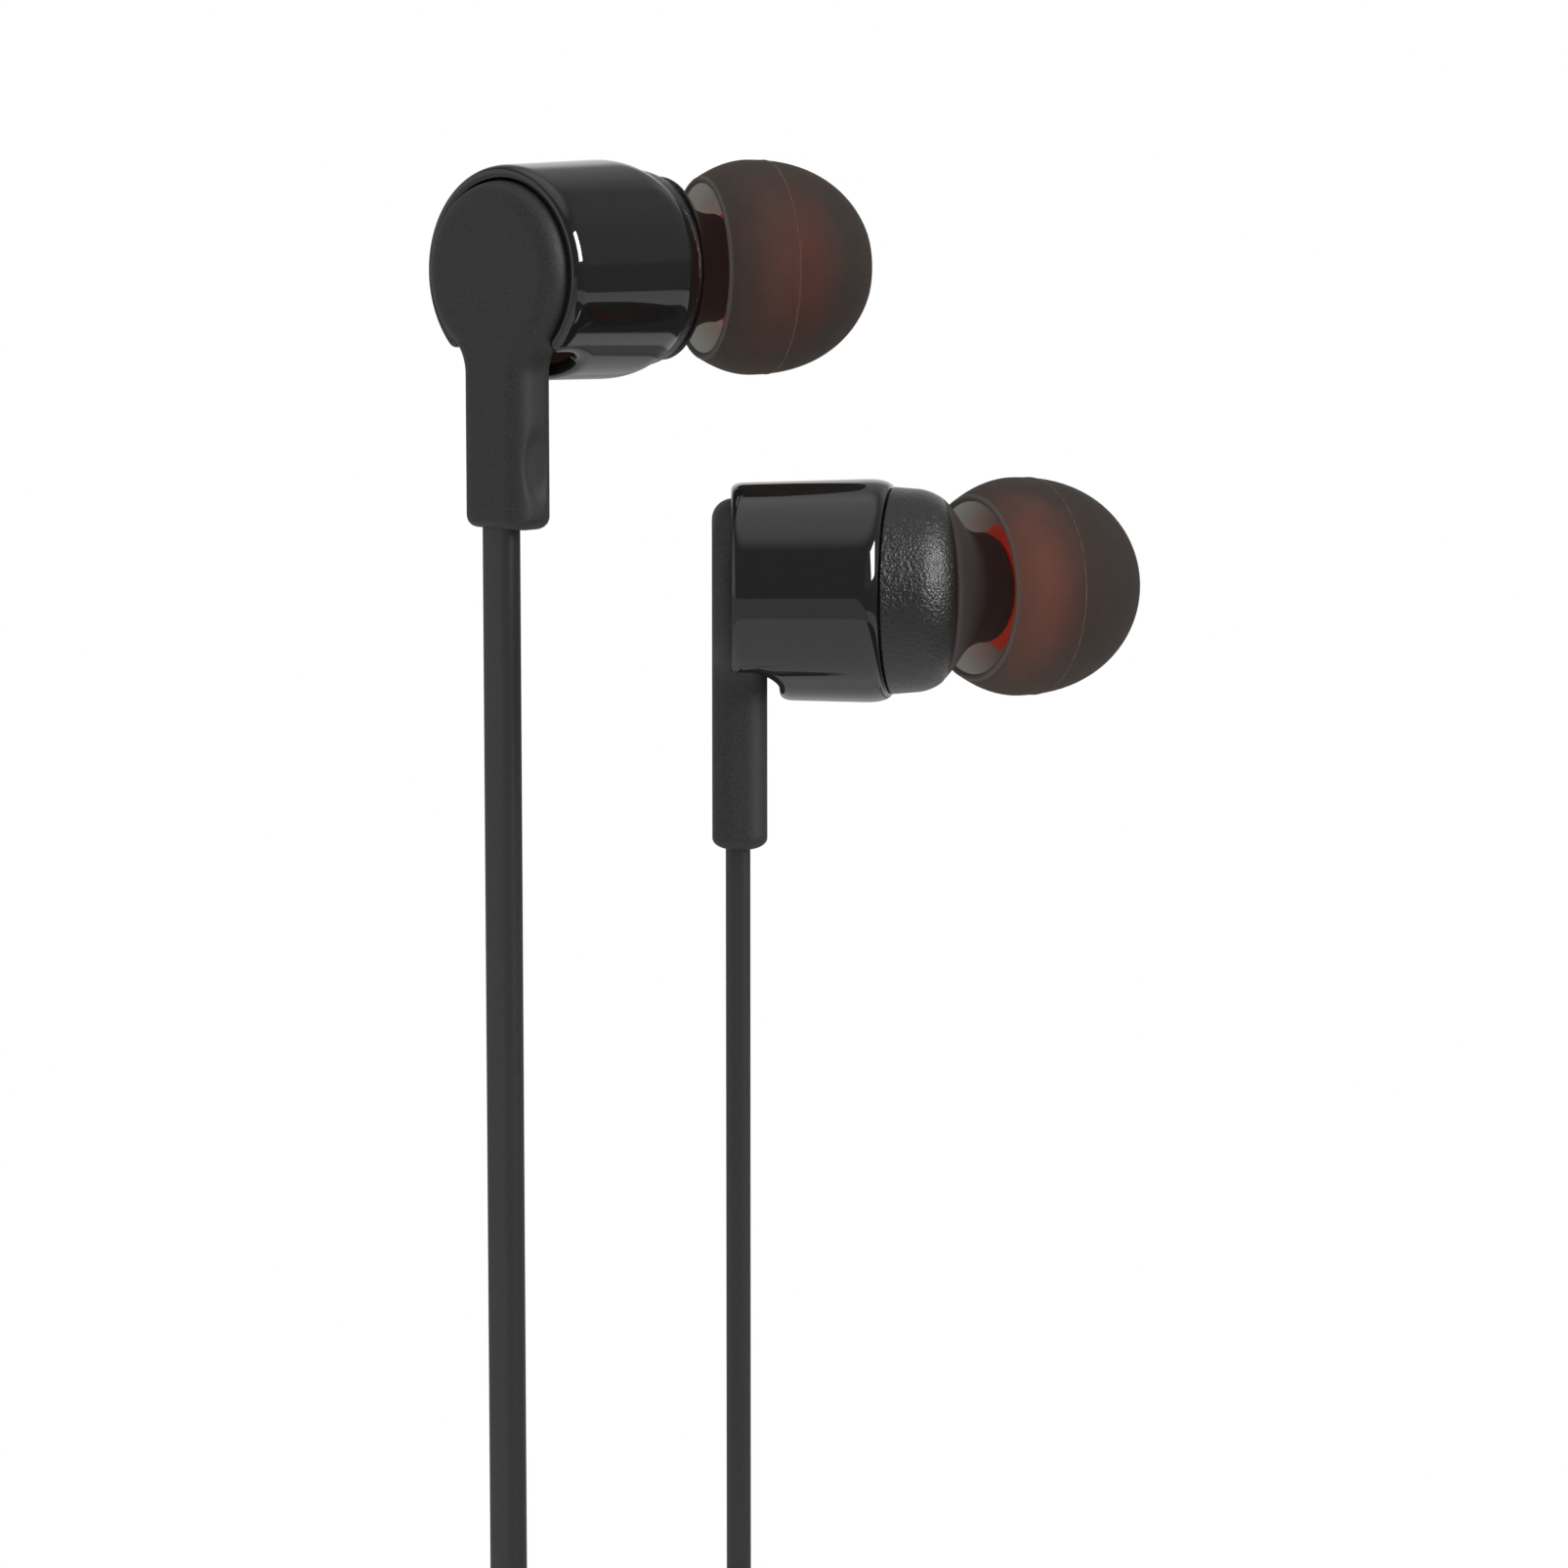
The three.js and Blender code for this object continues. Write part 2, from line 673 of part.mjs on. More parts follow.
function driverCover() {
  const rings = [
    { count: 1, at: 0, hole: coverHoleRadius },
    { count: coverHoles, at: ledgeRadius - 2 * coverHoleRadius, hole: coverHoleRadius },
  ];
  return piercedDisc(driverRadius, coverThickness, rings, 4).translate(coverRear, 0, 0);
}

function driverYoke() {
  const wall = yokeBore + yokeWall;
  return turned([
    [yokeRear, 0], [yokeRear, wall], [plateFront, wall], [plateFront, yokeBore],
    [yokeFloor, yokeBore], [yokeFloor, 0],
  ], 20);
}

function leadWire() {
  const boardRear = yokeRear - seatGap - boardThickness;
  const lift = boardHeight / 2 + wireRadius + seatGap;
  const path = new THREE.CatmullRomCurve3([
    new THREE.Vector3(cordX, -cordOffset, -crimpDrop + seatGap),
    new THREE.Vector3(cordX, -cordOffset, -crimpDrop + wireStraight),
    new THREE.Vector3(cordX, -cordOffset, -lift - wireStraight),
    new THREE.Vector3(cordX + wireBend / 5, -cordOffset, -lift - wireBend / 3),
    new THREE.Vector3(cordX + wireBend, -cordOffset / 2, -lift),
    new THREE.Vector3(boardRear - wireReach, 0, -lift),
    new THREE.Vector3(boardRear + boardThickness, 0, -lift),
  ]);
  const section = new THREE.Shape();
  section.absarc(0, 0, wireRadius, 0, 2 * Math.PI);
  return new THREE.ExtrudeGeometry(section, {
    steps: 10,
    curveSegments: 3,
    extrudePath: path,
    bevelEnabled: false,
  });
}

function cableCrimp() {
  const shape = roundedRectangle(cordThickness, cordWidth, cordThickness / 3);
  const block = new THREE.ExtrudeGeometry(shape, {
    depth: crimpHeight,
    bevelEnabled: false,
    curveSegments: 2,
  });
  return block.translate(cordX, -cordOffset, -crimpDrop - crimpHeight);
}

function terminalBoard() {
  const x = yokeRear - seatGap - boardThickness / 2;
  return box(boardThickness, boardWidth, boardHeight, x, 0, 0);
}

// ---------------------------------------------------------------- placing the pair

const mouth = besideNozzle(tipMouth, 0);

// The right earpiece is mirrored and put where its tip's mouth is the origin
const turn = (yaw, roll) => new THREE.Euler(degrees(roll), 0, degrees(yaw), 'ZYX');
const rightTurn = turn(rightYaw, 0);
const rightSpot = new THREE.Vector3(mouth.x, -mouth.y, 0).applyEuler(rightTurn).negate();
const earpieces = {
  right: { hand: -1, turn: rightTurn, spot: rightSpot },
  left: { hand: 1, turn: turn(leftYaw, leftRoll), spot: rightSpot.clone().add(leftShift) },
};

function earpiece(side) {
  const { hand, turn: held, spot } = earpieces[side];
  const group = new THREE.Group();
  group.position.copy(spot);
  group.rotation.copy(held);
  group.scale.y = hand;
  const coilInner = coilRadius - coilWall / 2;
  const feltRing = [frameRear - seatGap - feltThickness, frameRear - seatGap,
    yokeBore + yokeWall + feltGap, driverRadius - seatGap];
  const pieces = {
    outer_shell: [outerShell(), glossBlack],
    rear_cap: [rearCap(), matteCharcoal],
    front_housing: [frontHousing(), grainedBlack],
    nozzle_mesh: [nozzleMesh(), steel],
    ear_tip_dome: [earTipDome(), smokeSilicone],
    ear_tip_core: [earTipCore(), redSilicone],
    driver_cover: [driverCover(), steel],
    diaphragm: [diaphragm(), clearFilm],
    voice_coil: [ring(coilFront - coilLength, coilFront, coilInner, coilInner + coilWall), copper],
    pole_plate: [rod(plateRear, plateFront, plateRadius), steel],
    magnet: [rod(magnetRear, magnetFront, plateRadius - magnetInset), magnetGrey],
    driver_yoke: [driverYoke(), steel],
    driver_frame: [driverFrame(), whitePlastic],
    damping_felt: [ring(...feltRing), feltGrey],
    terminal_board: [terminalBoard(), boardGreen],
    lead_wire: [leadWire(), copper],
    cable_crimp: [cableCrimp(), steel],
  };
  for (const [name, [geometry, material]] of Object.entries(pieces)) {
    group.add(part(`${side}_${name}`, geometry, material));
  }
  return group;
}

// Where a point of an earpiece's frame lies in the part's
function placed(side, x, y, z) {
  const { hand, turn: held, spot } = earpieces[side];
  return new THREE.Vector3(x, hand * y, z).applyEuler(held).add(spot);
}

// ---------------------------------------------------------------- cords

// A cord's route through its own points, with its wide side held near one direction
class CordPath extends THREE.Curve {
  constructor(points, wide) {
    super();
    this.points = points;
    this.wide = wide;
  }

  getSpacedPoints() {
    return this.points;
  }

  computeFrenetFrames() {
    const last = this.points.length - 1;
    const tangents = this.points.map((_, i) =>
      this.points[Math.min(i + 1, last)].clone().sub(this.points[Math.max(i - 1, 0)]).normalize());
    const normals = tangents.map((tangent) =>
      this.wide.clone().addScaledVector(tangent, -tangent.dot(this.wide)).normalize());
    const binormals = tangents.map((tangent, i) => tangent.clone().cross(normals[i]));
    return { tangents, normals, binormals };
  }
}

const wideSection = [[1, 0.36], [0.62, 1], [-0.62, 1], [-1, 0.36], [-1, -0.36], [-0.62, -1], [0.62, -1],
  [1, -0.36]];
const loopSection = [[1, 0], [0.55, 1], [-0.55, 1], [-1, 0], [-0.55, -1], [0.55, -1]];

function cord(points, wide, section) {
  const outline = section.map(([x, y]) =>
    new THREE.Vector2((x * cordWidth) / 2, (y * cordThickness) / 2));
  return new THREE.ExtrudeGeometry(new THREE.Shape(outline), {
    steps: points.length - 1,
    extrudePath: new CordPath(points, wide),
    bevelEnabled: false,
  });
}

const ease = (share) => share * share * (3 - 2 * share);

// A free stretch that hangs down, and moves aside between two heights
function drop(start, end, from, to) {
  const length = start.z - end.z;
  const steps = Math.max(6, Math.round(length / (cordStep * cordWidth)));
  const heights = Array.from({ length: steps + 1 }, (_, i) => start.z - (length * i) / steps);
  return heights.map((z) => {
    const share = ease(THREE.MathUtils.clamp((from - z) / (from - to), 0, 1));
    return new THREE.Vector3(
      THREE.MathUtils.lerp(start.x, end.x, share), THREE.MathUtils.lerp(start.y, end.y, share), z,
    );
  });
}

// The drawn-in run at one height
function runX(run, z) {
  const off = (z - hankCentre.z) / hankHalfRun;
  const waist = Math.cos((Math.PI / 2) * off) ** 2;
  if (run.cross) return hankCentre.x + run.side * run.radius * ease((1 + off) / 2);
  return hankCentre.x + run.side * (run.radius - hankWaist * waist);
}

// Loops of a hank: straight runs joined by half turns, each run on its side, radius and column
function hank(runs) {
  const points = [];
  runs.forEach((run, i) => {
    const next = runs[i + 1];
    const from = hankCentre.z - run.way * hankHalfRun;
    for (let k = i ? 1 : 0; k <= runSteps; k += 1) {
      const share = k / runSteps;
      const z = from + run.way * 2 * hankHalfRun * share;
      const y = THREE.MathUtils.lerp(run.column, next ? next.column : run.column, ease(share));
      points.push(new THREE.Vector3(runX(run, z), hankCentre.y + y * hankColumnPitch, z));
    }
    if (!next) return;
    for (let k = 1; k <= foldSteps; k += 1) {
      const share = k / foldSteps;
      const angle = Math.PI * share;
      const radius = THREE.MathUtils.lerp(run.radius, next.radius, ease(share));
      points.push(new THREE.Vector3(
        hankCentre.x + run.side * radius * Math.cos(angle),
        hankCentre.y + next.column * hankColumnPitch,
        hankCentre.z + run.way * (hankHalfRun + radius * Math.sin(angle)),
      ));
    }
  });
  return points;
}

// Columns are counted from the hank's middle: the legs lie outside, the main cord between them
const legHank = (side, column, radius) => hank([
  { side, way: -1, radius, column },
  { side: -side, way: 1, radius, column },
  { side, way: -1, radius, column: column - Math.sign(column), cross: true },
]);

function mainRuns() {
  const halfTurns = 4 * hankLoops;
  return Array.from({ length: halfTurns }, (_, i) => {
    const deep = halfTurns / 2 - Math.abs(i - halfTurns / 2);
    return {
      side: i % 2 ? -1 : 1,
      way: i % 2 ? -1 : 1,
      radius: hankInnerRadius + (hankLoopPitch * (hankLoops - deep / 2)),
      column: i > halfTurns / 2 ? 0.5 : -0.5,
    };
  });
}

const length = (points) =>
  points.slice(1).reduce((sum, point, i) => sum + point.distanceTo(points[i]), 0);

// From a hank's last run down into the splitter's upper end
function intoSplitter(start, aside) {
  const end = new THREE.Vector3(hankCentre.x, hankCentre.y + aside, splitterTop + cordGap);
  const low = end.z + cordWidth;
  return drop(start, end, start.z - hankInnerRadius * 2, low).slice(1);
}

// From the splitter's lower end round and up to the hank's outermost run
function outOfSplitter(goal) {
  const start = new THREE.Vector3(hankCentre.x, hankCentre.y, splitterTop - splitterHeight - cordGap);
  const turnZ = start.z - cordWidth;
  const turn = Array.from({ length: foldSteps + 1 }, (_, k) => {
    const angle = (Math.PI * k) / foldSteps;
    return new THREE.Vector3(
      start.x + returnRadius * (1 - Math.cos(angle)), start.y, turnZ - returnRadius * Math.sin(angle),
    );
  });
  const rise = drop(goal, turn.at(-1), goal.z - cordWidth, turnZ + cordWidth).reverse();
  return [start, ...turn, ...rise.slice(1, -1)];
}

const remoteMiddle = remoteTop - reliefLength - seatGap - remoteHeight / 2;
const raised = (point, by) => new THREE.Vector3(point.x, point.y, point.z + by);

function cordRoutes() {
  const stemEnd = (side) =>
    placed(side, cordX, -cordOffset, -stemDrop - cordGap);
  const right = stemEnd('right');
  const left = stemEnd('left');
  const rightHank = legHank(-1, legColumn, rightLegRadius);
  const leftHank = legHank(1, -legColumn, leftLegRadius);
  const remoteEnd = 2 * remoteMiddle - remoteTop;
  const toRemote = new THREE.Vector3(right.x, right.y, remoteTop + cordGap);
  const fromRemote = new THREE.Vector3(right.x, right.y, remoteEnd - cordGap);
  const main = hank(mainRuns());
  const plug = new THREE.Vector3(main.at(-1).x, main.at(-1).y, plugTop + cordGap);
  const settled = hankCentre.z + hankHalfRun + hankInnerRadius;
  return {
    right_cord_upper: drop(right, toRemote, right.z, toRemote.z),
    right_cord_lower: drop(fromRemote, raised(rightHank[0], cordGap), fromRemote.z - cordWidth, settled),
    left_cord_upper: drop(left, raised(leftHank[0], cordGap), remoteTop, settled),
    right_cord_hank: [...rightHank, ...intoSplitter(rightHank.at(-1), legSpacing / 2)],
    left_cord_hank: [...leftHank, ...intoSplitter(leftHank.at(-1), -legSpacing / 2)],
    main_cord_hank: [...outOfSplitter(main[0]), ...main, ...drop(main.at(-1), plug, 0, -1).slice(1)],
  };
}

const routes = cordRoutes();

// The surface of a cord on a finer walk along its route, for measuring gaps
function walk(points, wide, section) {
  const { normals, binormals } = new CordPath(points, wide).computeFrenetFrames();
  const samples = [];
  let run = 0;
  for (let i = 0; i + 1 < points.length; i += 1) {
    const step = points[i].distanceTo(points[i + 1]);
    for (let k = 0; k < 3; k += 1) {
      const centre = points[i].clone().lerp(points[i + 1], k / 3);
      const normal = normals[i].clone().lerp(normals[i + 1], k / 3);
      const binormal = binormals[i].clone().lerp(binormals[i + 1], k / 3);
      const skinPoints = section.flatMap(([x, y], s) => {
        const [nextX, nextY] = section[(s + 1) % section.length];
        return [0, 0.5].map((share) => centre.clone()
          .addScaledVector(normal, (THREE.MathUtils.lerp(x, nextX, share) * cordWidth) / 2)
          .addScaledVector(binormal, (THREE.MathUtils.lerp(y, nextY, share) * cordThickness) / 2));
      });
      samples.push({ centre, at: run + (step * k) / 3, skinPoints });
    }
    run += step;
  }
  return samples;
}

function leastGap(samples, others = samples) {
  let least = Infinity;
  for (const a of samples) {
    for (const b of others) {
      if (samples === others && b.at - a.at < 4 * cordWidth) continue;
      if (a.centre.distanceTo(b.centre) > 3 * cordWidth) continue;
      for (const p of a.skinPoints) {
        for (const q of b.skinPoints) least = Math.min(least, p.distanceTo(q));
      }
    }
  }
  return least;
}

const acrossHank = new THREE.Vector3(0, 1, 0);
const widths = { right_cord_upper: 'right', left_cord_upper: 'left' };

function cords() {
  const walks = {};
  const meshes = Object.entries(routes).map(([name, points]) => {
    const isLoop = name.endsWith('hank');
    const section = isLoop ? loopSection : wideSection;
    const side = widths[name];
    const wide = side
      ? placed(side, 0, 1, 0).sub(earpieces[side].spot)
      : acrossHank;
    if (isLoop) walks[name] = walk(points, wide, section);
    return part(name, cord(points, wide, section), cordBlack);
  });
  for (const [name, samples] of Object.entries(walks)) {
    console.log(`${name} ${length(routes[name]).toFixed(1)} mm long, least gap to itself`,
      `${leastGap(samples).toFixed(2)} mm`);
  }
  return meshes;
}

function hankTie() {
  const outermost = hankInnerRadius + hankLoopPitch * hankLoops - hankWaist;
  const width = 2 * (outermost + cordThickness / 2 + tieGap);
  const depth = 5 * hankColumnPitch + cordWidth + 2 * tieGap;
  const shape = roundedRectangle(width + 2 * tieWall, depth + 2 * tieWall, tieCorner + tieWall);
  shape.holes.push(roundedRectangle(width, depth, tieCorner));
  const band = new THREE.ExtrudeGeometry(shape, {
    depth: tieHeight,
    bevelEnabled: false,
    curveSegments: 4,
  });
  const { x, y, z } = hankCentre;
  return part('hank_tie', band.translate(x, y, z - tieHeight / 2), matteCharcoal);
}

function splitter() {
  const block = softBlock(splitterDepth, splitterWidth, splitterHeight, splitterDepth / 2, splitterRound);
  block.translate(hankCentre.x, hankCentre.y, splitterTop - splitterHeight);
  return part('splitter_body', block, matteCharcoal);
}

// ---------------------------------------------------------------- remote

// The remote's own frame: +Y to its rear, +Z up, its middle at the origin
function remoteShells() {
  const outer = softBlock(remoteWidth, remoteDepth, remoteHeight, remoteCorner, remoteRound)
    .translate(0, 0, -remoteHeight / 2);
  const hollow = box(remoteWidth - 2 * remoteWall, remoteDepth - 2 * remoteWall,
    remoteHeight - 2 * remoteWall);
  const far = remoteHeight;
  const half = seatGap / 2;
  const cordWay = softBlock(cordWidth + 2 * cordSlotGap, cordWidth + 2 * cordSlotGap,
    2 * remoteHeight, cordWidth / 2, 0.1).translate(0, 0, -remoteHeight);
  const window = box(buttonWidth + 2 * cordSlotGap, remoteDepth, buttonHeight + 2 * cordSlotGap,
    0, -remoteDepth / 2, 0);
  const micHole = rod(-remoteDepth, 0, micHoleRadius, 8).rotateZ(Math.PI / 2)
    .translate(0, 0, -micDrop);
  const frontOnly = box(far, far, 2 * far, 0, far / 2 - half, 0);
  const rearOnly = box(far, far, 2 * far, 0, -far / 2 + half, 0);
  return {
    remote_front_shell: cut(outer, hollow, frontOnly, cordWay, window, micHole),
    remote_rear_shell: cut(outer, hollow, rearOnly, cordWay),
  };
}

function remoteButton() {
  const front = -remoteDepth / 2 - buttonProud;
  const flangeFront = -remoteDepth / 2 + remoteWall + seatGap;
  const sunk = buttonFlange / 2;
  const face = softBlock(buttonWidth, buttonHeight, flangeFront - front + sunk, buttonCorner,
    buttonRound).rotateX(Math.PI / 2).translate(0, flangeFront + sunk, 0);
  const flange = box(buttonWidth + 2 * buttonFlangeRim, buttonFlange,
    buttonHeight + 2 * buttonFlangeRim, 0, flangeFront + buttonFlange / 2, 0);
  return join(face, flange);
}

function remote() {
  const group = new THREE.Group();
  const { x, y } = routes.right_cord_lower[0];
  group.position.set(x, y, remoteMiddle);
  const shells = remoteShells();
  const flangeRear = -remoteDepth / 2 + remoteWall + seatGap + buttonFlange;
  const switchFront = flangeRear + buttonTravel + seatGap;
  const boardFront = switchFront + switchDepth + seatGap / 2;
  const boardHeightInside = remoteHeight - 2 * remoteWall - 2 * cordWidth;
  const board = box(remoteWidth - 2 * remoteWall - 2 * seatGap, boardDepth, boardHeightInside,
    0, boardFront + boardDepth / 2, 0);
  const dome = rod(0, switchDepth, switchWidth / 2, 16).rotateZ(Math.PI / 2)
    .translate(0, switchFront, 0);
  const mic = rod(0, micDepth, micRadius, 16).rotateZ(Math.PI / 2)
    .translate(0, boardFront - seatGap / 2 - micDepth, -micDrop + micRadius);
  const relief = (end) => turned([
    [0, 0], [0, reliefRootRadius], [reliefLength, reliefEndRadius], [reliefLength, 0],
  ], 16).rotateY((-end * Math.PI) / 2).translate(0, 0, end * (remoteHeight / 2 + seatGap));
  group.add(
    part('remote_front_shell', shells.remote_front_shell, glossBlack),
    part('remote_rear_shell', shells.remote_rear_shell, matteCharcoal),
    part('remote_button', remoteButton(), matteCharcoal),
    part('remote_board', board, boardGreen),
    part('remote_dome_switch', dome, steel),
    part('remote_microphone', mic, steel),
    part('remote_relief_top', relief(1), matteCharcoal),
    part('remote_relief_bottom', relief(-1), matteCharcoal),
  );
  return group;
}

// ---------------------------------------------------------------- plug

// The plug's own frame: +X from the cord's entry towards the jack's tip
function plug() {
  const group = new THREE.Group();
  const entry = routes.main_cord_hank.at(-1);
  group.position.set(entry.x, entry.y, plugTop);
  group.rotation.y = Math.PI / 2;
  const handleStart = plugReliefLength + seatGap;
  const handleEnd = handleStart + plugHandleLength;
  const { sleeve, ring: ringLength, tip, spacer } = jackParts;
  const round = plugHandleRound;
  const bore = jackCore + seatGap;
  const relief = turned([
    [0, 0], [0, plugReliefRadius], [plugReliefLength, plugReliefRoot],
    [plugReliefLength, 0],
  ], 20);
  const handle = turned([
    [handleStart, 0], ...arc(handleStart + round, plugHandleRadius - round, round, 180, 90, 2),
    ...arc(handleEnd - round, plugHandleRadius - round, round, 90, 0, 2),
    [handleEnd, bore], [handleEnd - jackSocket, bore], [handleEnd - jackSocket, 0],
  ]);
  const sleeveStart = handleEnd + seatGap;
  const ringTwoStart = sleeveStart + sleeve + spacer;
  const ringOneStart = ringTwoStart + ringLength + spacer;
  const tipStart = ringOneStart + ringLength + spacer;
  const tipEnd = tipStart + tip;
  const band = (start, size) => ring(start, start + size, bore, jackRadius, 20);
  const tipPiece = turned([
    [tipStart, bore], [tipStart, jackTipRear], [tipStart + jackNeck.at, jackNeck.radius],
    [tipStart + jackTipWidest, jackRadius], [tipEnd - jackNose.length, jackNose.radius],
    [tipEnd, 0], [tipEnd - jackTipWall, 0], [tipEnd - jackTipWall, bore], [tipStart, bore],
  ], 20);
  const collarRadius = jackRadius - jackCollarInset;
  const collar = (end) => [
    [end - spacer + seatGap, jackCore], [end - spacer + seatGap, collarRadius],
    [end - seatGap, collarRadius], [end - seatGap, jackCore],
  ];
  const insulator = turned([
    [handleEnd - jackSocket + seatGap, 0], [handleEnd - jackSocket + seatGap, jackCore],
    ...collar(ringTwoStart), ...collar(ringOneStart), ...collar(tipStart),
    [tipEnd - jackTipWall - seatGap, jackCore], [tipEnd - jackTipWall - seatGap, 0],
  ], 12);
  group.add(
    part('plug_relief', relief, matteCharcoal),
    part('plug_handle', handle, matteCharcoal),
    part('jack_sleeve', band(sleeveStart, sleeve), gold),
    part('jack_ring_2', band(ringTwoStart, ringLength), gold),
    part('jack_ring_1', band(ringOneStart, ringLength), gold),
    part('jack_tip', tipPiece, gold),
    part('jack_insulator', insulator, glossBlack),
  );
  return group;
}

// ---------------------------------------------------------------- the whole

const group = new THREE.Group();
group.add(earpiece('right'), earpiece('left'), ...cords(), hankTie(), splitter(), remote(), plug());

export default group;
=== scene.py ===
"""Looks for a pair of wired in-ear earphones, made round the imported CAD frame.

Shapes are worked out in millimetres, in the frame of the piece they belong to, and are put into the
part's own frame, in metres, by one matrix each.
"""

import json
import math

import bmesh
import bpy
from mathutils import Matrix, Vector


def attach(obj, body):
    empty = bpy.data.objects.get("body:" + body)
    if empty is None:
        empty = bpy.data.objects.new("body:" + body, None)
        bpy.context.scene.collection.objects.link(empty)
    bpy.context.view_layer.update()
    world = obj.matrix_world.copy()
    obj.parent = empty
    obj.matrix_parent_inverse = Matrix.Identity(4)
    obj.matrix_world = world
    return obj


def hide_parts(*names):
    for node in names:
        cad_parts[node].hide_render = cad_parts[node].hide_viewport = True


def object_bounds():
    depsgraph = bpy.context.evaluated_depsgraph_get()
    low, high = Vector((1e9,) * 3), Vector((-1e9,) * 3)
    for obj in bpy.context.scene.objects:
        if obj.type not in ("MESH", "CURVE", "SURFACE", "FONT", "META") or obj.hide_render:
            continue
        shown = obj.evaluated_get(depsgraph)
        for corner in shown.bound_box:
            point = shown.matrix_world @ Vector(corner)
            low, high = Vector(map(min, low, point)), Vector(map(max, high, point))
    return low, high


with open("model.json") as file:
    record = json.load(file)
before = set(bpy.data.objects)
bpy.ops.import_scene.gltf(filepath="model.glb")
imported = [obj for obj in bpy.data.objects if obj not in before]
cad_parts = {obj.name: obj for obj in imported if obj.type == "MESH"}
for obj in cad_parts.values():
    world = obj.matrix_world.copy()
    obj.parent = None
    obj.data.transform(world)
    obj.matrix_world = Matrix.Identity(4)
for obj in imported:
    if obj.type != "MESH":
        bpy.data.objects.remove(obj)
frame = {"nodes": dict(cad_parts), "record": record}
cad_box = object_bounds()
nodes = frame["nodes"]

MM = 0.001
TO_METRES = Matrix.Scale(MM, 4)
SIDES = ("right", "left")


# ---------------------------------------------------------------- objects


def in_scene(name, data):
    """A new object that holds this data, in the scene."""
    made = bpy.data.objects.new(name, data)
    bpy.context.scene.collection.objects.link(made)
    return made


def mesh_from(name, bm):
    mesh = bpy.data.meshes.new(name)
    bm.to_mesh(mesh)
    bm.free()
    return mesh


def aim(made, target, way, distance):
    """Sets a camera or lamp this far from its target, and turns it to it."""
    made.location = target + way * distance
    made.rotation_euler = (-way).to_track_quat("-Z", "Y").to_euler()


# ---------------------------------------------------------------- camera

VIEW_TARGET = Vector((-0.004315, -0.014937, -0.02882))
VIEW_DISTANCE = 0.3
VIEW_RISE = 0.132  # radians above the horizon
VIEW_LENS = 121.12
VIEW_SENSOR = 36.0
VIEW_NEAREST = 0.01
VIEW_FURTHEST = 20.0


def make_camera():
    data = bpy.data.cameras.new("camera")
    data.lens = VIEW_LENS
    data.sensor_width = VIEW_SENSOR
    data.clip_start = VIEW_NEAREST
    data.clip_end = VIEW_FURTHEST
    camera = in_scene("camera", data)
    aim(camera, VIEW_TARGET, Vector((0, -math.cos(VIEW_RISE), math.sin(VIEW_RISE))), VIEW_DISTANCE)
    bpy.context.scene.camera = camera


# ---------------------------------------------------------------- how the pair is held

# Each earpiece has its own frame: +X along the housing towards the ear, +Z up, and +Y to the side that
# the nozzle turns to. The right one is the mirror image of the left.
NOZZLE_PIVOT = 8.475
NOZZLE_ANGLE = math.radians(27.7)
TIP_MOUTH = 15.66
RIGHT_YAW = math.radians(47.8)
LEFT_YAW = math.radians(0.8)
LEFT_ROLL = math.radians(-2.3)
LEFT_SHIFT = Vector((13.1, -3.28, -17.79))


def beside_nozzle(along, aside):
    """A point on the nozzle's axis or beside it, in the earpiece's plan."""
    cosine = math.cos(NOZZLE_ANGLE)
    sine = math.sin(NOZZLE_ANGLE)
    return Vector((NOZZLE_PIVOT + along * cosine - aside * sine, along * sine + aside * cosine))


ON_NOZZLE = Matrix.Translation((NOZZLE_PIVOT, 0, 0)) @ Matrix.Rotation(NOZZLE_ANGLE, 4, "Z")


def held():
    """Each earpiece's frame in the part's, in millimetres. The right tip's mouth is the origin."""
    mouth = beside_nozzle(TIP_MOUTH, 0)
    right_turn = Matrix.Rotation(RIGHT_YAW, 4, "Z")
    left_turn = Matrix.Rotation(LEFT_YAW, 4, "Z") @ Matrix.Rotation(LEFT_ROLL, 4, "X")
    right_spot = -(right_turn @ Vector((mouth.x, -mouth.y, 0)))
    mirror = Matrix.Diagonal((1, -1, 1, 1))
    return {
        "right": Matrix.Translation(right_spot) @ right_turn @ mirror,
        "left": Matrix.Translation(right_spot + LEFT_SHIFT) @ left_turn,
    }


HELD = held()


# ---------------------------------------------------------------- mesh tools

LEAST_CORNER = 0.05
BEND = 0.3  # how far in a rounded edge's middle lies, as a share of its radius
SMOOTH_TO = 38  # degrees between faces, past which an edge is sharp


def arc(x, y, radius, start, end, steps):
    """Points on an arc, from one angle to another in degrees."""
    angles = [math.radians(start + (end - start) * i / steps) for i in range(steps + 1)]
    return [Vector((x + radius * math.cos(a), y + radius * math.sin(a))) for a in angles]


def rounded(corners, steps=6, closed=False):
    """An outline whose corners, each (x, y) or (x, y, radius), are rounded."""
    points = [Vector(corner[:2]) for corner in corners]
    outline = []
    for i, corner in enumerate(corners):
        radius = corner[2] if len(corner) > 2 else 0
        inner = closed or 0 < i < len(corners) - 1
        if not radius or not inner:
            outline.append(points[i])
            continue
        back = (points[i - 1] - points[i]).normalized()
        ahead = (points[(i + 1) % len(points)] - points[i]).normalized()
        half = back.angle(ahead) / 2
        middle = points[i] + (back + ahead).normalized() * radius / math.sin(half)
        start = points[i] + back * radius / math.tan(half) - middle
        end = points[i] + ahead * radius / math.tan(half) - middle
        sweep = math.atan2(start.x * end.y - start.y * end.x, start.dot(end))
        for k in range(steps + 1):
            turn = Matrix.Rotation(sweep * k / steps, 2)
            outline.append(middle + turn @ start)
    return outline


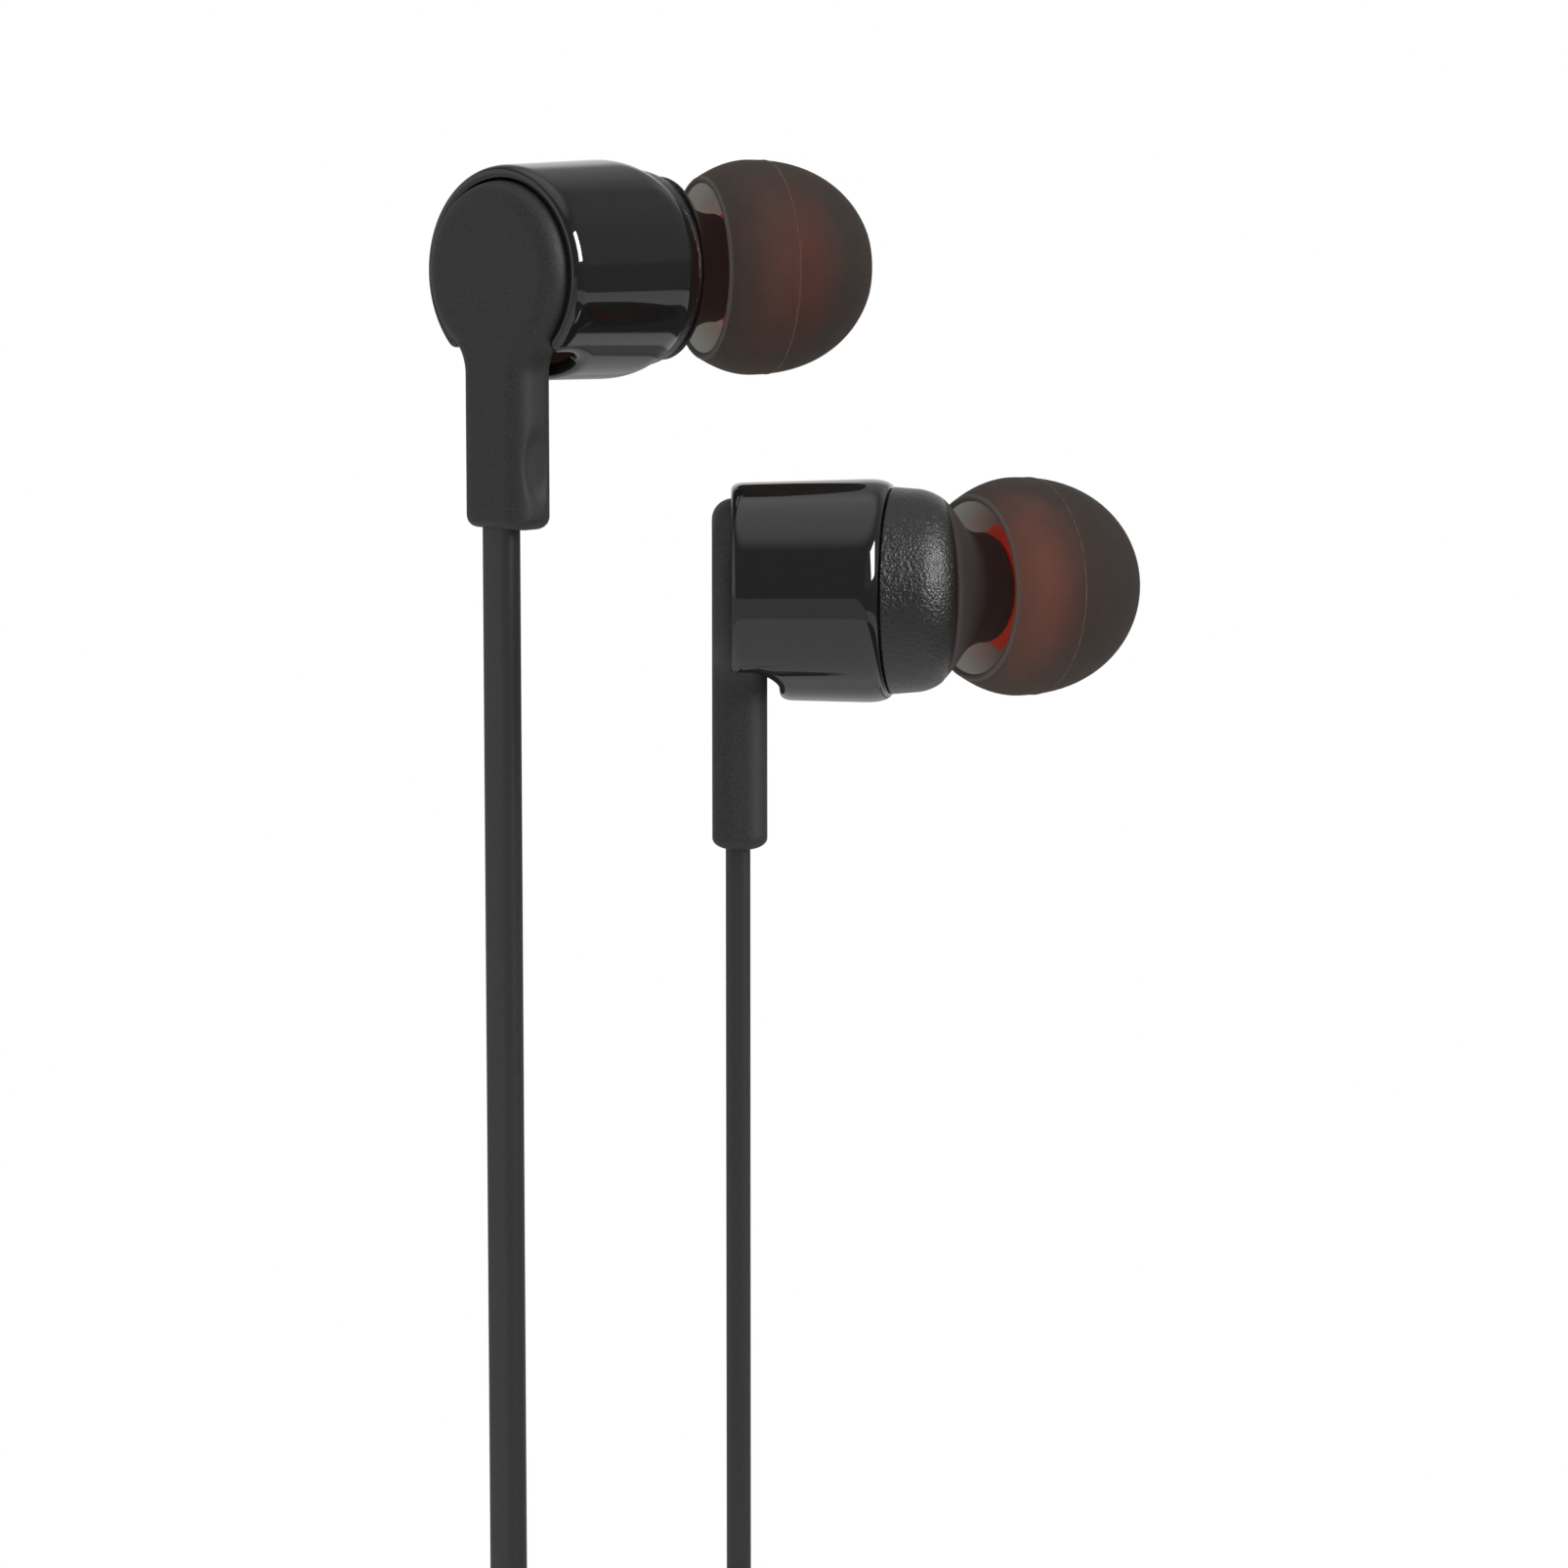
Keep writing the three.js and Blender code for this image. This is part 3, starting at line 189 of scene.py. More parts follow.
def spread(points, count, closed=False):
    """The same outline with its points evenly spaced."""
    line = points + points[:1] if closed else points
    runs = [0.0]
    for a, b in zip(line, line[1:]):
        runs.append(runs[-1] + (b - a).length)
    places = []
    i = 0
    for k in range(count):
        at = runs[-1] * k / (count if closed else count - 1)
        while i + 2 < len(runs) and runs[i + 1] < at:
            i += 1
        share = (at - runs[i]) / max(runs[i + 1] - runs[i], 1e-9)
        places.append(line[i].lerp(line[i + 1], share))
    return places


def point_along(line, share):
    """The point of an open outline this share of the way along it."""
    lengths = [(b - a).length for a, b in zip(line, line[1:])]
    left = sum(lengths) * share
    for a, b, length in zip(line, line[1:], lengths):
        if left <= length and length:
            return a.lerp(b, left / length)
        left -= length
    return line[-1]


def height_at(line, x):
    """How high an outline that runs along X is at one place."""
    for a, b in zip(line, line[1:]):
        if x <= b.x:
            return a.y + (b.y - a.y) * (x - a.x) / (b.x - a.x)
    return line[-1].y


def rounded_rectangle(width, height, corner, steps):
    x = width / 2
    y = height / 2
    corners = [(x, -y, corner), (x, y, corner), (-x, y, corner), (-x, -y, corner)]
    return rounded(corners, steps, closed=True)


def loft(rings, joined=False, marks=None):
    """A skin through rings of points. The first ring is drawn and each next one is extruded from it.
    With joined the last ring meets the first. Each of the marks is an attribute: a number a ring."""
    bm = bmesh.new()
    layers = {bm.verts.layers.float.new(name): levels for name, levels in (marks or {}).items()}
    verts = [bm.verts.new(point) for point in rings[0]]
    first = verts
    edges = [bm.edges.new(pair) for pair in zip(verts, verts[1:] + verts[:1])]
    first_edges = edges
    for layer, levels in layers.items():
        for vert in verts:
            vert[layer] = levels[0]
    for number, points in enumerate(rings[1:], 1):
        geometry = bmesh.ops.extrude_edge_only(bm, edges=edges)["geom"]
        fresh = {item for item in geometry if isinstance(item, bmesh.types.BMVert)}
        pairs = [[edge.other_vert(vert) for edge in vert.link_edges] for vert in verts]
        verts = [next(other for other in others if other in fresh) for others in pairs]
        for vert, point in zip(verts, points):
            vert.co = point
            for layer, levels in layers.items():
                vert[layer] = levels[number]
        edges = [bm.edges.get(pair) for pair in zip(verts, verts[1:] + verts[:1])]
    if joined:
        bmesh.ops.bridge_loops(bm, edges=first_edges + edges)
    else:
        bm.faces.new(first)
        bm.faces.new(verts)
    bmesh.ops.recalc_face_normals(bm, faces=bm.faces)
    return bm


def turned(profile, steps=96):
    """A profile of (x, radius) spun about the X axis into a closed body. One that doesn't start and end
    on the axis is closed on itself."""
    bm = bmesh.new()
    verts = [bm.verts.new((x, 0, radius)) for x, radius in profile]
    pairs = list(zip(verts, verts[1:]))
    if profile[0][1] > 0:
        pairs.append((verts[-1], verts[0]))
    edges = [bm.edges.new(pair) for pair in pairs]
    bmesh.ops.spin(bm, geom=verts + edges, cent=(0, 0, 0), axis=(1, 0, 0), angle=2 * math.pi,
                   steps=steps, use_merge=True)
    bmesh.ops.remove_doubles(bm, verts=bm.verts, dist=1e-5)
    bmesh.ops.recalc_face_normals(bm, faces=bm.faces)
    return bm


def rim_round(edge, steps):
    """A rim rounded over: (how far it is drawn in, how high it has risen), from the face to the side."""
    turns = [math.radians(90 * k / steps) for k in range(steps + 1)]
    return [(edge * (1 - math.sin(a)), edge * (1 - math.cos(a))) for a in turns]


def soft_block(outline, low, high, edge, steps=5, lip=0.15, waist=()):
    """An outline in X and Y made a block from one height to another, with both rims rounded over. The
    outline is a function of how far it is drawn in. The lip is the width of a ring on each flat end, as
    a share of the edge, and the waist is levels half-way up, each (drawn in, height)."""
    rising = [(edge * (1 + lip), low)] + [(inset, low + up) for inset, up in rim_round(edge, steps)]
    levels = rising + list(waist) + [(inset, low + high - height) for inset, height in reversed(rising)]
    return loft([[Vector((p.x, p.y, height)) for p in outline(inset)] for inset, height in levels])


def block_outline(width, depth, corner, steps=8):
    return lambda inset: rounded_rectangle(
        width - 2 * inset, depth - 2 * inset, max(corner - inset, LEAST_CORNER), steps)


def merged(*parts):
    """Several bodies as one mesh of separate solids."""
    whole = bmesh.new()
    for bm in parts:
        mesh = mesh_from("part", bm)
        whole.from_mesh(mesh)
        bpy.data.meshes.remove(mesh)
    return whole


def piece(name, bm, place, slot, replaced, body="root", sharp=SMOOTH_TO):
    """The finished mesh as an object of the part: placed, smooth, in its slot's finish, riding on its
    body in place of the CAD nodes that it stands for."""
    bm.transform(TO_METRES @ place)
    if place.determinant() < 0:
        bmesh.ops.reverse_faces(bm, faces=bm.faces)
    mesh = mesh_from(name, bm)
    mesh.shade_smooth()
    mesh.set_sharp_from_angle(angle=math.radians(sharp))
    mesh.materials.append(FINISHES[slot])
    made = in_scene(name, mesh)
    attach(made, body)
    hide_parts(*replaced)
    return made


def carve(made, cutter_bm, place):
    """Cuts a shape out of a finished piece."""
    cutter_bm.transform(TO_METRES @ place)
    bmesh.ops.recalc_face_normals(cutter_bm, faces=cutter_bm.faces)
    mesh = mesh_from("cutter", cutter_bm)
    cutter = in_scene("cutter", mesh)
    cut = made.modifiers.new("cut", "BOOLEAN")
    cut.object = cutter
    cut.operation = "DIFFERENCE"
    cut.solver = "EXACT"
    bpy.context.view_layer.update()
    result = made.evaluated_get(bpy.context.evaluated_depsgraph_get())
    carved = bpy.data.meshes.new_from_object(result)
    made.modifiers.remove(cut)
    carved.set_sharp_from_angle(angle=math.radians(SMOOTH_TO))
    made.data = carved
    bpy.data.objects.remove(cutter)
    bpy.data.meshes.remove(mesh)


# ---------------------------------------------------------------- shader tools


class Value:
    """A number on a shader's socket: arithmetic on it adds Math nodes to its tree."""

    def __init__(self, socket):
        self.socket = socket

    def maths(self, operation, *operands):
        tree = self.socket.id_data
        made = tree.nodes.new("ShaderNodeMath")
        made.operation = operation
        for target, operand in zip(made.inputs, operands):
            if isinstance(operand, Value):
                tree.links.new(operand.socket, target)
            else:
                target.default_value = operand
        return Value(made.outputs[0])

    def __add__(self, other):
        return self.maths("ADD", self, other)

    def __sub__(self, other):
        return self.maths("SUBTRACT", self, other)

    def __rsub__(self, other):
        return self.maths("SUBTRACT", other, self)

    def __mul__(self, other):
        return self.maths("MULTIPLY", self, other)

    def capped(self):
        return self.maths("MINIMUM", self, 1.0)

    __radd__ = __add__
    __rmul__ = __mul__


class Finish:
    """One node tree, for a material or the world."""

    def __init__(self, owner):
        owner.use_nodes = True
        self.tree = owner.node_tree
        self.tree.nodes.clear()

    def node(self, kind, settings, sockets, output=0):
        made = self.tree.nodes.new("ShaderNode" + kind)
        for name, setting in settings.items():
            setattr(made, name, setting)
        for name, value in sockets.items():
            if isinstance(value, Value):
                self.tree.links.new(value.socket, made.inputs[name])
            else:
                made.inputs[name].default_value = value
        return Value(made.outputs[output]) if len(made.outputs) else None

    def place(self):
        return self.node("TexCoord", {}, {}, "Object")

    def along(self, axis, vector):
        """One of a vector's three numbers."""
        return self.node("SeparateXYZ", {}, {0: vector}, axis)

    def ray(self, kind):
        return self.node("LightPath", {}, {}, f"Is {kind} Ray")

    def stretched(self, scale):
        """Object coordinates with another scale along each axis."""
        return self.node("Mapping", {"vector_type": "POINT"}, {"Vector": self.place(), "Scale": scale})

    def mark(self, name):
        return self.node("Attribute", {"attribute_name": name}, {}, "Fac")

    def noise(self, size, detail=2.0, rough=0.5, at=None):
        """Noise from 0 to 1 whose grain is about this many millimetres."""
        sockets = {"Vector": at or self.place(), "Scale": 1 / (size * MM), "Detail": detail,
                   "Roughness": rough}
        return self.node("TexNoise", {}, sockets)

    def cells(self, size, smoothness=0.3):
        """Soft-edged cells about this many millimetres wide."""
        sockets = {"Vector": self.place(), "Scale": 1 / (size * MM), "Smoothness": smoothness}
        return self.node("TexVoronoi", {"feature": "SMOOTH_F1"}, sockets)

    def ramp(self, value, low, high, start=0.0, end=1.0):
        """The value's way from low to high, as a smooth step from start to end."""
        sockets = {"Value": value, "From Min": low, "From Max": high, "To Min": start, "To Max": end}
        return self.node("MapRange", {"interpolation_type": "SMOOTHSTEP"}, sockets)

    def mix(self, share, first, second):
        """One colour passing into another."""
        sockets = {0: share, 6: first, 7: second}
        return self.node("Mix", {"data_type": "RGBA"}, sockets, 2)

    def bump(self, height, depth):
        """A normal for relief this many millimetres deep."""
        return self.node("Bump", {}, {"Height": height, "Distance": depth * MM, "Strength": 1.0})

    def principled(self, sockets):
        return self.node("BsdfPrincipled", {}, sockets)

    def surface(self, shader):
        self.node("OutputMaterial", {}, {"Surface": shader})


def rgb(red, green, blue):
    return (red, green, blue, 1.0)


def grey(level, warmth=0.0):
    """A dark or pale neutral colour, a little warmer or cooler."""
    return rgb(level * (1 + warmth), level, level * (1 - warmth))


def new_finish(name):
    material = bpy.data.materials.new(name)
    return material, Finish(material)


# ---------------------------------------------------------------- materials


def gloss_plastic(name, level=0.018):
    """Black gloss moulding: a faint flow waviness, and a haze of fine handling marks."""
    material, f = new_finish(name)
    wave = f.noise(3.2, 1.0)
    haze = f.noise(1.1, 4.0, 0.6)
    f.surface(f.principled({
        "Base Color": f.mix(haze, grey(level * 0.8), grey(level * 1.2)),
        "Roughness": f.ramp(haze, 0.35, 0.8, 0.035, 0.075),
        "Normal": f.bump(wave, 0.004),
        "IOR": 1.52,
    }))
    return material


def matte_plastic(name, level=0.042, grain=0.11, depth=0.02, rough=0.62):
    """Fine spark-eroded mould grain, with slight mottling."""
    material, f = new_finish(name)
    fine = f.noise(grain, 3.0, 0.6)
    mottle = f.noise(1.6, 3.0)
    dull_skin = f.mix(mottle, grey(level * 0.7, 0.03), grey(level * 0.95, 0.03))
    f.surface(f.principled({
        "Base Color": f.mix(f.ramp(fine, 0.35, 0.7), dull_skin, grey(level * 1.45, 0.03)),
        "Roughness": f.ramp(fine, 0.3, 0.75, rough - 0.08, rough + 0.08),
        "Normal": f.bump(fine, depth),
        "IOR": 1.5,
        "Specular IOR Level": 0.3,
    }))
    return material


def grained_plastic(name):
    """Leather-like grain of the front housing: wrinkles between soft pads. It fades out on the neck,
    which is smoother. On the neck a brown tint and a faint emission are painted glow, for light seeping
    through it."""
    material, f = new_finish(name)
    grain = f.mark("grain")
    warp = f.noise(0.45, 2.0)
    pads = f.cells(0.21)
    creases = f.noise(0.13, 3.0, 0.6)
    height = (pads * 0.5 + creases + warp * 0.3) * grain
    # The neck's brown tint is painted glow, for light seeping through it.
    painted_seep_glow = f.mix(f.noise(2.2, 1.0), rgb(0.007, 0.0025, 0.002), rgb(0.005, 0.004, 0.0015))
    body = f.mix(creases, grey(0.004, 0.02), grey(0.012, 0.02))
    f.surface(f.principled({
        "Base Color": f.mix(grain, painted_seep_glow, body),
        "Roughness": f.ramp(grain, 0.0, 1.0, 1.0, 0.3),
        "Normal": f.bump(height, 0.06),
        "IOR": 1.5,
        "Specular IOR Level": 0.5,
        # Painted glow: a faint emission on the neck.
        "Emission Color": f.mix(grain, rgb(0.011, 0.005, 0.004), grey(0.0)),
        "Emission Strength": 1.0,
    }))
    return material


def smoke_silicone(name):
    """Frosted, smoke-brown silicone with a pale moulding line. It is half clear: most where the wall is
    clearest and looked at square on, and inside, where light comes through it. The clear part's red tint
    is a painted red glow of the core. The inside has a pale colour and a faint emission as painted
    backlight, darker deeper in as painted shade."""
    material, f = new_finish(name)
    cloud = f.noise(1.4, 3.0)
    frost = f.noise(0.09, 2.0, 0.6)
    line = f.mark("line") * f.ramp(f.noise(0.35, 3.0, 0.7), 0.3, 0.75, 0.15, 1.0)
    smoke = f.mix(cloud, rgb(0.084, 0.068, 0.060), rgb(0.104, 0.084, 0.074))
    inside = f.mark("inside")
    # Inside faces: this pale colour and the emission below are painted backlight, for light through the
    # wall; the inside mark fades deeper in as painted shade.
    body = f.mix(inside, smoke, rgb(0.46, 0.50, 0.46))
    relief = f.bump(frost, 0.01)
    skin = f.principled({
        "Base Color": f.mix(line, body, rgb(0.55, 0.38, 0.29)),
        "Roughness": f.ramp(frost, 0.2, 0.8, 0.7, 0.82),
        "Normal": relief,
        "IOR": 1.41,
        "Specular IOR Level": 0.12,
        # Painted backlight: a faint emission on the inside faces.
        "Emission Color": f.mix(inside, grey(0.0), rgb(0.105, 0.125, 0.114)),
        "Emission Strength": 1.0,
    })
    # Painted red glow of the core, tinting the clear part of the wall.
    painted_red_glow = f.mix(cloud, rgb(0.46, 0.14, 0.10), rgb(0.56, 0.18, 0.13))
    clear = f.principled({
        "Base Color": f.mix(inside, painted_red_glow, rgb(0.84, 0.81, 0.76)),
        "Roughness": f.ramp(frost, 0.2, 0.8, 0.78, 0.9),
        "Normal": relief,
        "Transmission Weight": 1.0,
        "IOR": 1.18,
    })
    slant = f.node("LayerWeight", {}, {"Blend": 0.5}, "Facing")
    share = f.ramp(slant, 0.05, 0.65, 0.6, 0.08) * f.mark("clarity") * (1 - line)
    f.surface(f.node("MixShader", {}, {0: share, 1: skin, 2: clear}))
    return material


def red_silicone(name):
    """Satin red silicone, softly clouded, with a little glow of its own in place of scattered light."""
    material, f = new_finish(name)
    cloud = f.noise(0.9, 3.0)
    fine = f.noise(0.08, 2.0)
    f.surface(f.principled({
        "Base Color": f.mix(cloud, rgb(0.46, 0.022, 0.010), rgb(0.62, 0.040, 0.016)),
        "Roughness": f.ramp(fine, 0.3, 0.7, 0.45, 0.57),
        "Normal": f.bump(fine, 0.004),
        "IOR": 1.41,
        "Emission Color": f.mix(cloud, rgb(0.055, 0.003, 0.0015), rgb(0.072, 0.005, 0.002)),
        "Emission Strength": 1.0,
    }))
    return material


def cord_rubber(name):
    """The cord's satin jacket, with faint drawing lines along it and fine dust-like specks."""
    material, f = new_finish(name)
    level = 0.055
    lines = f.noise(0.16, 2.0, 0.5, f.stretched((1, 1, 0.02)))
    specks = f.noise(0.12, 3.0, 0.7)
    f.surface(f.principled({
        "Base Color": f.mix(specks, grey(level * 0.85, 0.03), grey(level * 1.15, 0.03)),
        "Roughness": f.ramp(specks, 0.3, 0.8, 0.36, 0.46),
        "Normal": f.bump(lines * 0.6 + specks * 0.4, 0.004),
        "IOR": 1.5,
        "Specular IOR Level": 0.3,
    }))
    return material


def metal(name, colour, rough, grain, depth=0.002):
    """Turned or plated metal, with fine uneven polish."""
    material, f = new_finish(name)
    polish = f.noise(grain, 3.0, 0.6)
    dark = [channel * 0.86 for channel in colour]
    f.surface(f.principled({
        "Base Color": f.mix(polish, rgb(*dark), rgb(*colour)),
        "Roughness": f.ramp(polish, 0.25, 0.8, rough * 0.75, rough * 1.25),
        "Normal": f.bump(polish, depth),
        "Metallic": 1.0,
    }))
    return material


def dull(name, colour, rough, grain, depth):
    """Plain moulded, pressed or fibrous stuff: a grain in its colour, sheen and surface."""
    material, f = new_finish(name)
    fine = f.noise(grain, 4.0, 0.65)
    dark = [channel * 0.75 for channel in colour]
    f.surface(f.principled({
        "Base Color": f.mix(fine, rgb(*dark), rgb(*colour)),
        "Roughness": f.ramp(fine, 0.25, 0.8, rough - 0.08, rough + 0.08),
        "Normal": f.bump(fine, depth),
    }))
    return material


def make_finishes():
    """Every material slot of the record, with its finish."""
    plans = {
        "shell_gloss": (gloss_plastic,),
        "cap_matte": (matte_plastic,),
        "housing_grain": (grained_plastic,),
        "tip_silicone": (smoke_silicone,),
        "core_silicone": (red_silicone,),
        "cord_jacket": (cord_rubber,),
        "tie_silicone": (matte_plastic, 0.03, 0.2, 0.01, 0.6),
        "relief_rubber": (matte_plastic, 0.022, 0.12, 0.006, 0.5),
        "mesh_steel": (metal, (0.55, 0.55, 0.56), 0.35, 0.1),
        "driver_steel": (metal, (0.6, 0.6, 0.61), 0.3, 0.3),
        "magnet": (metal, (0.42, 0.42, 0.45), 0.32, 0.4),
        "coil_copper": (metal, (0.72, 0.32, 0.14), 0.35, 0.08, 0.006),
        "diaphragm_film": (dull, (0.62, 0.58, 0.48), 0.28, 0.6, 0.003),
        "frame_plastic": (dull, (0.72, 0.71, 0.68), 0.45, 0.25, 0.004),
        "circuit_board": (dull, (0.02, 0.16, 0.05), 0.4, 0.5, 0.01),
        "felt": (dull, (0.42, 0.4, 0.36), 0.9, 0.06, 0.04),
        "contact_plating": (metal, (0.83, 0.6, 0.26), 0.16, 0.5),
        "insulator_plastic": (gloss_plastic, 0.01),
    }
    return {slot: make(slot, *settings) for slot, (make, *settings) in plans.items()}


FINISHES = make_finishes()


def dress_frame():
    """The CAD pieces that show as they are take their slot's finish."""
    for entry in frame["record"]["subparts"]:
        materials = nodes[entry["node"]].data.materials
        materials.clear()
        materials.append(FINISHES[entry["material_slot"]])


# ---------------------------------------------------------------- cords

# Flat cord, and how it leaves the stem
CORD_WIDTH = 2.3
CORD_THICKNESS = 1.4
CORD_EDGE = 0.55
CORD_OFFSET = 0.45
CORD_SEAT = 0.25  # how far a cord runs on into what it enters
CORD_SMOOTH_TO = 60
SLOT_SEAT = 1.3
STEM_THICKNESS = 3.12
STEM_DROP = 14.55
CAP_RISE = 1.1
CORD_SET_BACK = 0.1
CORD_SLOT_TOP = 1.5
CUT_PAST = 1.0  # how far a cutter runs on past what it cuts
CORD_X = STEM_THICKNESS / 2 - CAP_RISE - CORD_SET_BACK

# Put-away cord: loops in planes of constant Y, bound at the waist. Columns are counted from the middle:
# the main cord fills the two beside it, and each leg's loops lie outside them.
HANK_CENTRE = Vector((-13.65, -13.2, -150))
HANK_HALF_RUN = 22
HANK_COLUMN = 2.76
MAIN_COLUMN = 0.5
LEG_COLUMN = 2.5
HANK_LOOP = 1.87
HANK_INNER = 4.9
HANK_LOOPS = 3
HANK_WAIST = 2.6
RIGHT_LEG_RADIUS = 6.8
LEFT_LEG_RADIUS = 9.66
FOLD_STEPS = 24
RUN_STEPS = 14
LEAST_STEPS = 8

REMOTE_TOP = -80
REMOTE_END = -108.24
SPLITTER_TOP = -192.3
SPLITTER_HEIGHT = 12
LEG_SPACING = 3.4
RETURN_RADIUS = 4.8
PLUG_TOP = -187

# Real lengths in metres
RIGHT_UPPER_LENGTH = 0.065
RIGHT_LOWER_LENGTH = 0.217
LEFT_LENGTH = 0.31
MAIN_LENGTH = 0.856


def ease(share):
    share = min(max(share, 0.0), 1.0)
    return share * share * (3 - 2 * share)


def drop(start, end, start_z, end_z):
    """A stretch that hangs down, and moves aside between two heights."""
    length = start.z - end.z
    steps = max(LEAST_STEPS, round(length / CORD_WIDTH))
    points = []
    for i in range(steps + 1):
        z = start.z - length * i / steps
        share = ease((start_z - z) / (start_z - end_z))
        aside = start.lerp(end, share)
        points.append(Vector((aside.x, aside.y, z)))
    return points


def run_x(run, z):
    """Where a hank's drawn-in run lies at one height."""
    off = (z - HANK_CENTRE.z) / HANK_HALF_RUN
    if run.get("cross"):
        return HANK_CENTRE.x + run["side"] * run["radius"] * ease((1 + off) / 2)
    waist = math.cos(math.pi / 2 * off) ** 2
    return HANK_CENTRE.x + run["side"] * (run["radius"] - HANK_WAIST * waist)


def hank(runs):
    """Loops of a hank: straight runs joined by half turns."""
    points = []
    for i, run in enumerate(runs):
        after = runs[i + 1] if i + 1 < len(runs) else None
        start = HANK_CENTRE.z - run["way"] * HANK_HALF_RUN
        column = after["column"] if after else run["column"]
        for k in range(1 if i else 0, RUN_STEPS + 1):
            share = k / RUN_STEPS
            z = start + run["way"] * 2 * HANK_HALF_RUN * share
            y = run["column"] + (column - run["column"]) * ease(share)
            points.append(Vector((run_x(run, z), HANK_CENTRE.y + y * HANK_COLUMN, z)))
        if not after:
            break
        for k in range(1, FOLD_STEPS + 1):
            share = k / FOLD_STEPS
            angle = math.pi * share
            radius = run["radius"] + (after["radius"] - run["radius"]) * ease(share)
            points.append(Vector((
                HANK_CENTRE.x + run["side"] * radius * math.cos(angle),
                HANK_CENTRE.y + after["column"] * HANK_COLUMN,
                HANK_CENTRE.z + run["way"] * (HANK_HALF_RUN + radius * math.sin(angle)),
            )))
    return points


def leg_hank(side, column, radius):
    """Two runs on the outer side, and a third that comes in to the hank's middle."""
    inner = column - math.copysign(1, column)
    return hank([
        {"side": side, "way": -1, "radius": radius, "column": column},
        {"side": -side, "way": 1, "radius": radius, "column": column},
        {"side": side, "way": -1, "radius": radius, "column": inner, "cross": True},
    ])


def main_runs():
    """The main cord's runs, which spiral in through one column and out again through the other."""
    half_turns = 4 * HANK_LOOPS
    runs = []
    for i in range(half_turns):
        deep = half_turns / 2 - abs(i - half_turns / 2)
        way = -1 if i % 2 else 1
        radius = HANK_INNER + HANK_LOOP * (HANK_LOOPS - deep / 2)
        column = MAIN_COLUMN if i > half_turns / 2 else -MAIN_COLUMN
        runs.append({"side": way, "way": way, "radius": radius, "column": column})
    return runs


def into_splitter(start, aside):
    """From a hank's last run down into the splitter's upper end."""
    end = Vector((HANK_CENTRE.x, HANK_CENTRE.y + aside, SPLITTER_TOP - CORD_SEAT))
    return drop(start, end, start.z - HANK_INNER * 2, end.z + CORD_WIDTH)[1:]


def out_of_splitter(goal):
    """From the splitter's lower end round and up to the hank's outermost run."""
    start = Vector((HANK_CENTRE.x, HANK_CENTRE.y, SPLITTER_TOP - SPLITTER_HEIGHT + CORD_SEAT))
    turn_z = start.z - CORD_WIDTH
    turn = [Vector((p.x, start.y, p.y))
            for p in arc(start.x + RETURN_RADIUS, turn_z, RETURN_RADIUS, 180, 360, FOLD_STEPS)]
    rise = drop(goal, turn[-1], goal.z - CORD_WIDTH, turn_z + CORD_WIDTH)
    return [start] + turn + rise[-2:0:-1]


def cord_routes():
    """The four cords' routes, in millimetres."""
    right, left = [HELD[side] @ Vector((CORD_X, -CORD_OFFSET, -STEM_DROP + SLOT_SEAT))
                   for side in SIDES]
    right_hank = leg_hank(-1, LEG_COLUMN, RIGHT_LEG_RADIUS)
    left_hank = leg_hank(1, -LEG_COLUMN, LEFT_LEG_RADIUS)
    to_remote = Vector((right.x, right.y, REMOTE_TOP - CORD_SEAT))
    from_remote = Vector((right.x, right.y, REMOTE_END + CORD_SEAT))
    settled = HANK_CENTRE.z + HANK_HALF_RUN + HANK_INNER
    main = hank(main_runs())
    plug_entry = Vector((main[-1].x, main[-1].y, PLUG_TOP - CORD_SEAT))
    right_drop = drop(from_remote, right_hank[0], from_remote.z - CORD_WIDTH, settled)
    left_drop = drop(left, left_hank[0], REMOTE_TOP, settled)
    return {
        "right_upper": drop(right, to_remote, right.z, to_remote.z),
        "right_lower": right_drop[:-1] + right_hank + into_splitter(right_hank[-1], LEG_SPACING / 2),
        "left": left_drop[:-1] + left_hank + into_splitter(left_hank[-1], -LEG_SPACING / 2),
        "main": out_of_splitter(main[0]) + main + drop(main[-1], plug_entry, settled, PLUG_TOP)[1:],
    }


def cord_rings(points, wide):
    """The flat section carried along a route, its wide side held near one direction."""
    section = rounded_rectangle(CORD_WIDTH, CORD_THICKNESS, CORD_EDGE, 4)
    rings = []
    for before, point, after in zip(points[:1] + points, points, points[1:] + points[-1:]):
        tangent = (after - before).normalized()
        across = (wide - tangent * tangent.dot(wide)).normalized()
        through = tangent.cross(across)
        rings.append([point + across * s.x + through * s.y for s in section])
    return rings


def make_cords(routes):
    across = Vector((0, 1, 0))
    plans = {
        "right_upper": (HELD["right"].to_3x3() @ across, ["right_cord_upper"]),
        "right_lower": (across, ["right_cord_lower", "right_cord_hank"]),
        "left": (HELD["left"].to_3x3() @ across, ["left_cord_upper", "left_cord_hank"]),
        "main": (across, ["main_cord_hank"]),
    }
    for name, (wide, replaced) in plans.items():
        bm = loft(cord_rings(routes[name], wide))
        piece(f"{name}_cord", bm, Matrix(), "cord_jacket", replaced, sharp=CORD_SMOOTH_TO)


def declare_cords(routes, remote_pieces, splitter, tie, plug_pieces):
    """Each cord's real length, far end and what it carries, with its route in metres; nothing further is
    done with them.
    """
    plans = {
        "right_upper": (RIGHT_UPPER_LENGTH, "fitting", remote_pieces),
        "right_lower": (RIGHT_LOWER_LENGTH, "fitting", [splitter]),
        "left": (LEFT_LENGTH, "fitting", [splitter]),
        "main": (MAIN_LENGTH, "plug", [tie] + plug_pieces),
    }
    for name, (length, far_end, carried) in plans.items():
        path = [point * MM for point in routes[name]]


# ---------------------------------------------------------------- earpiece housing

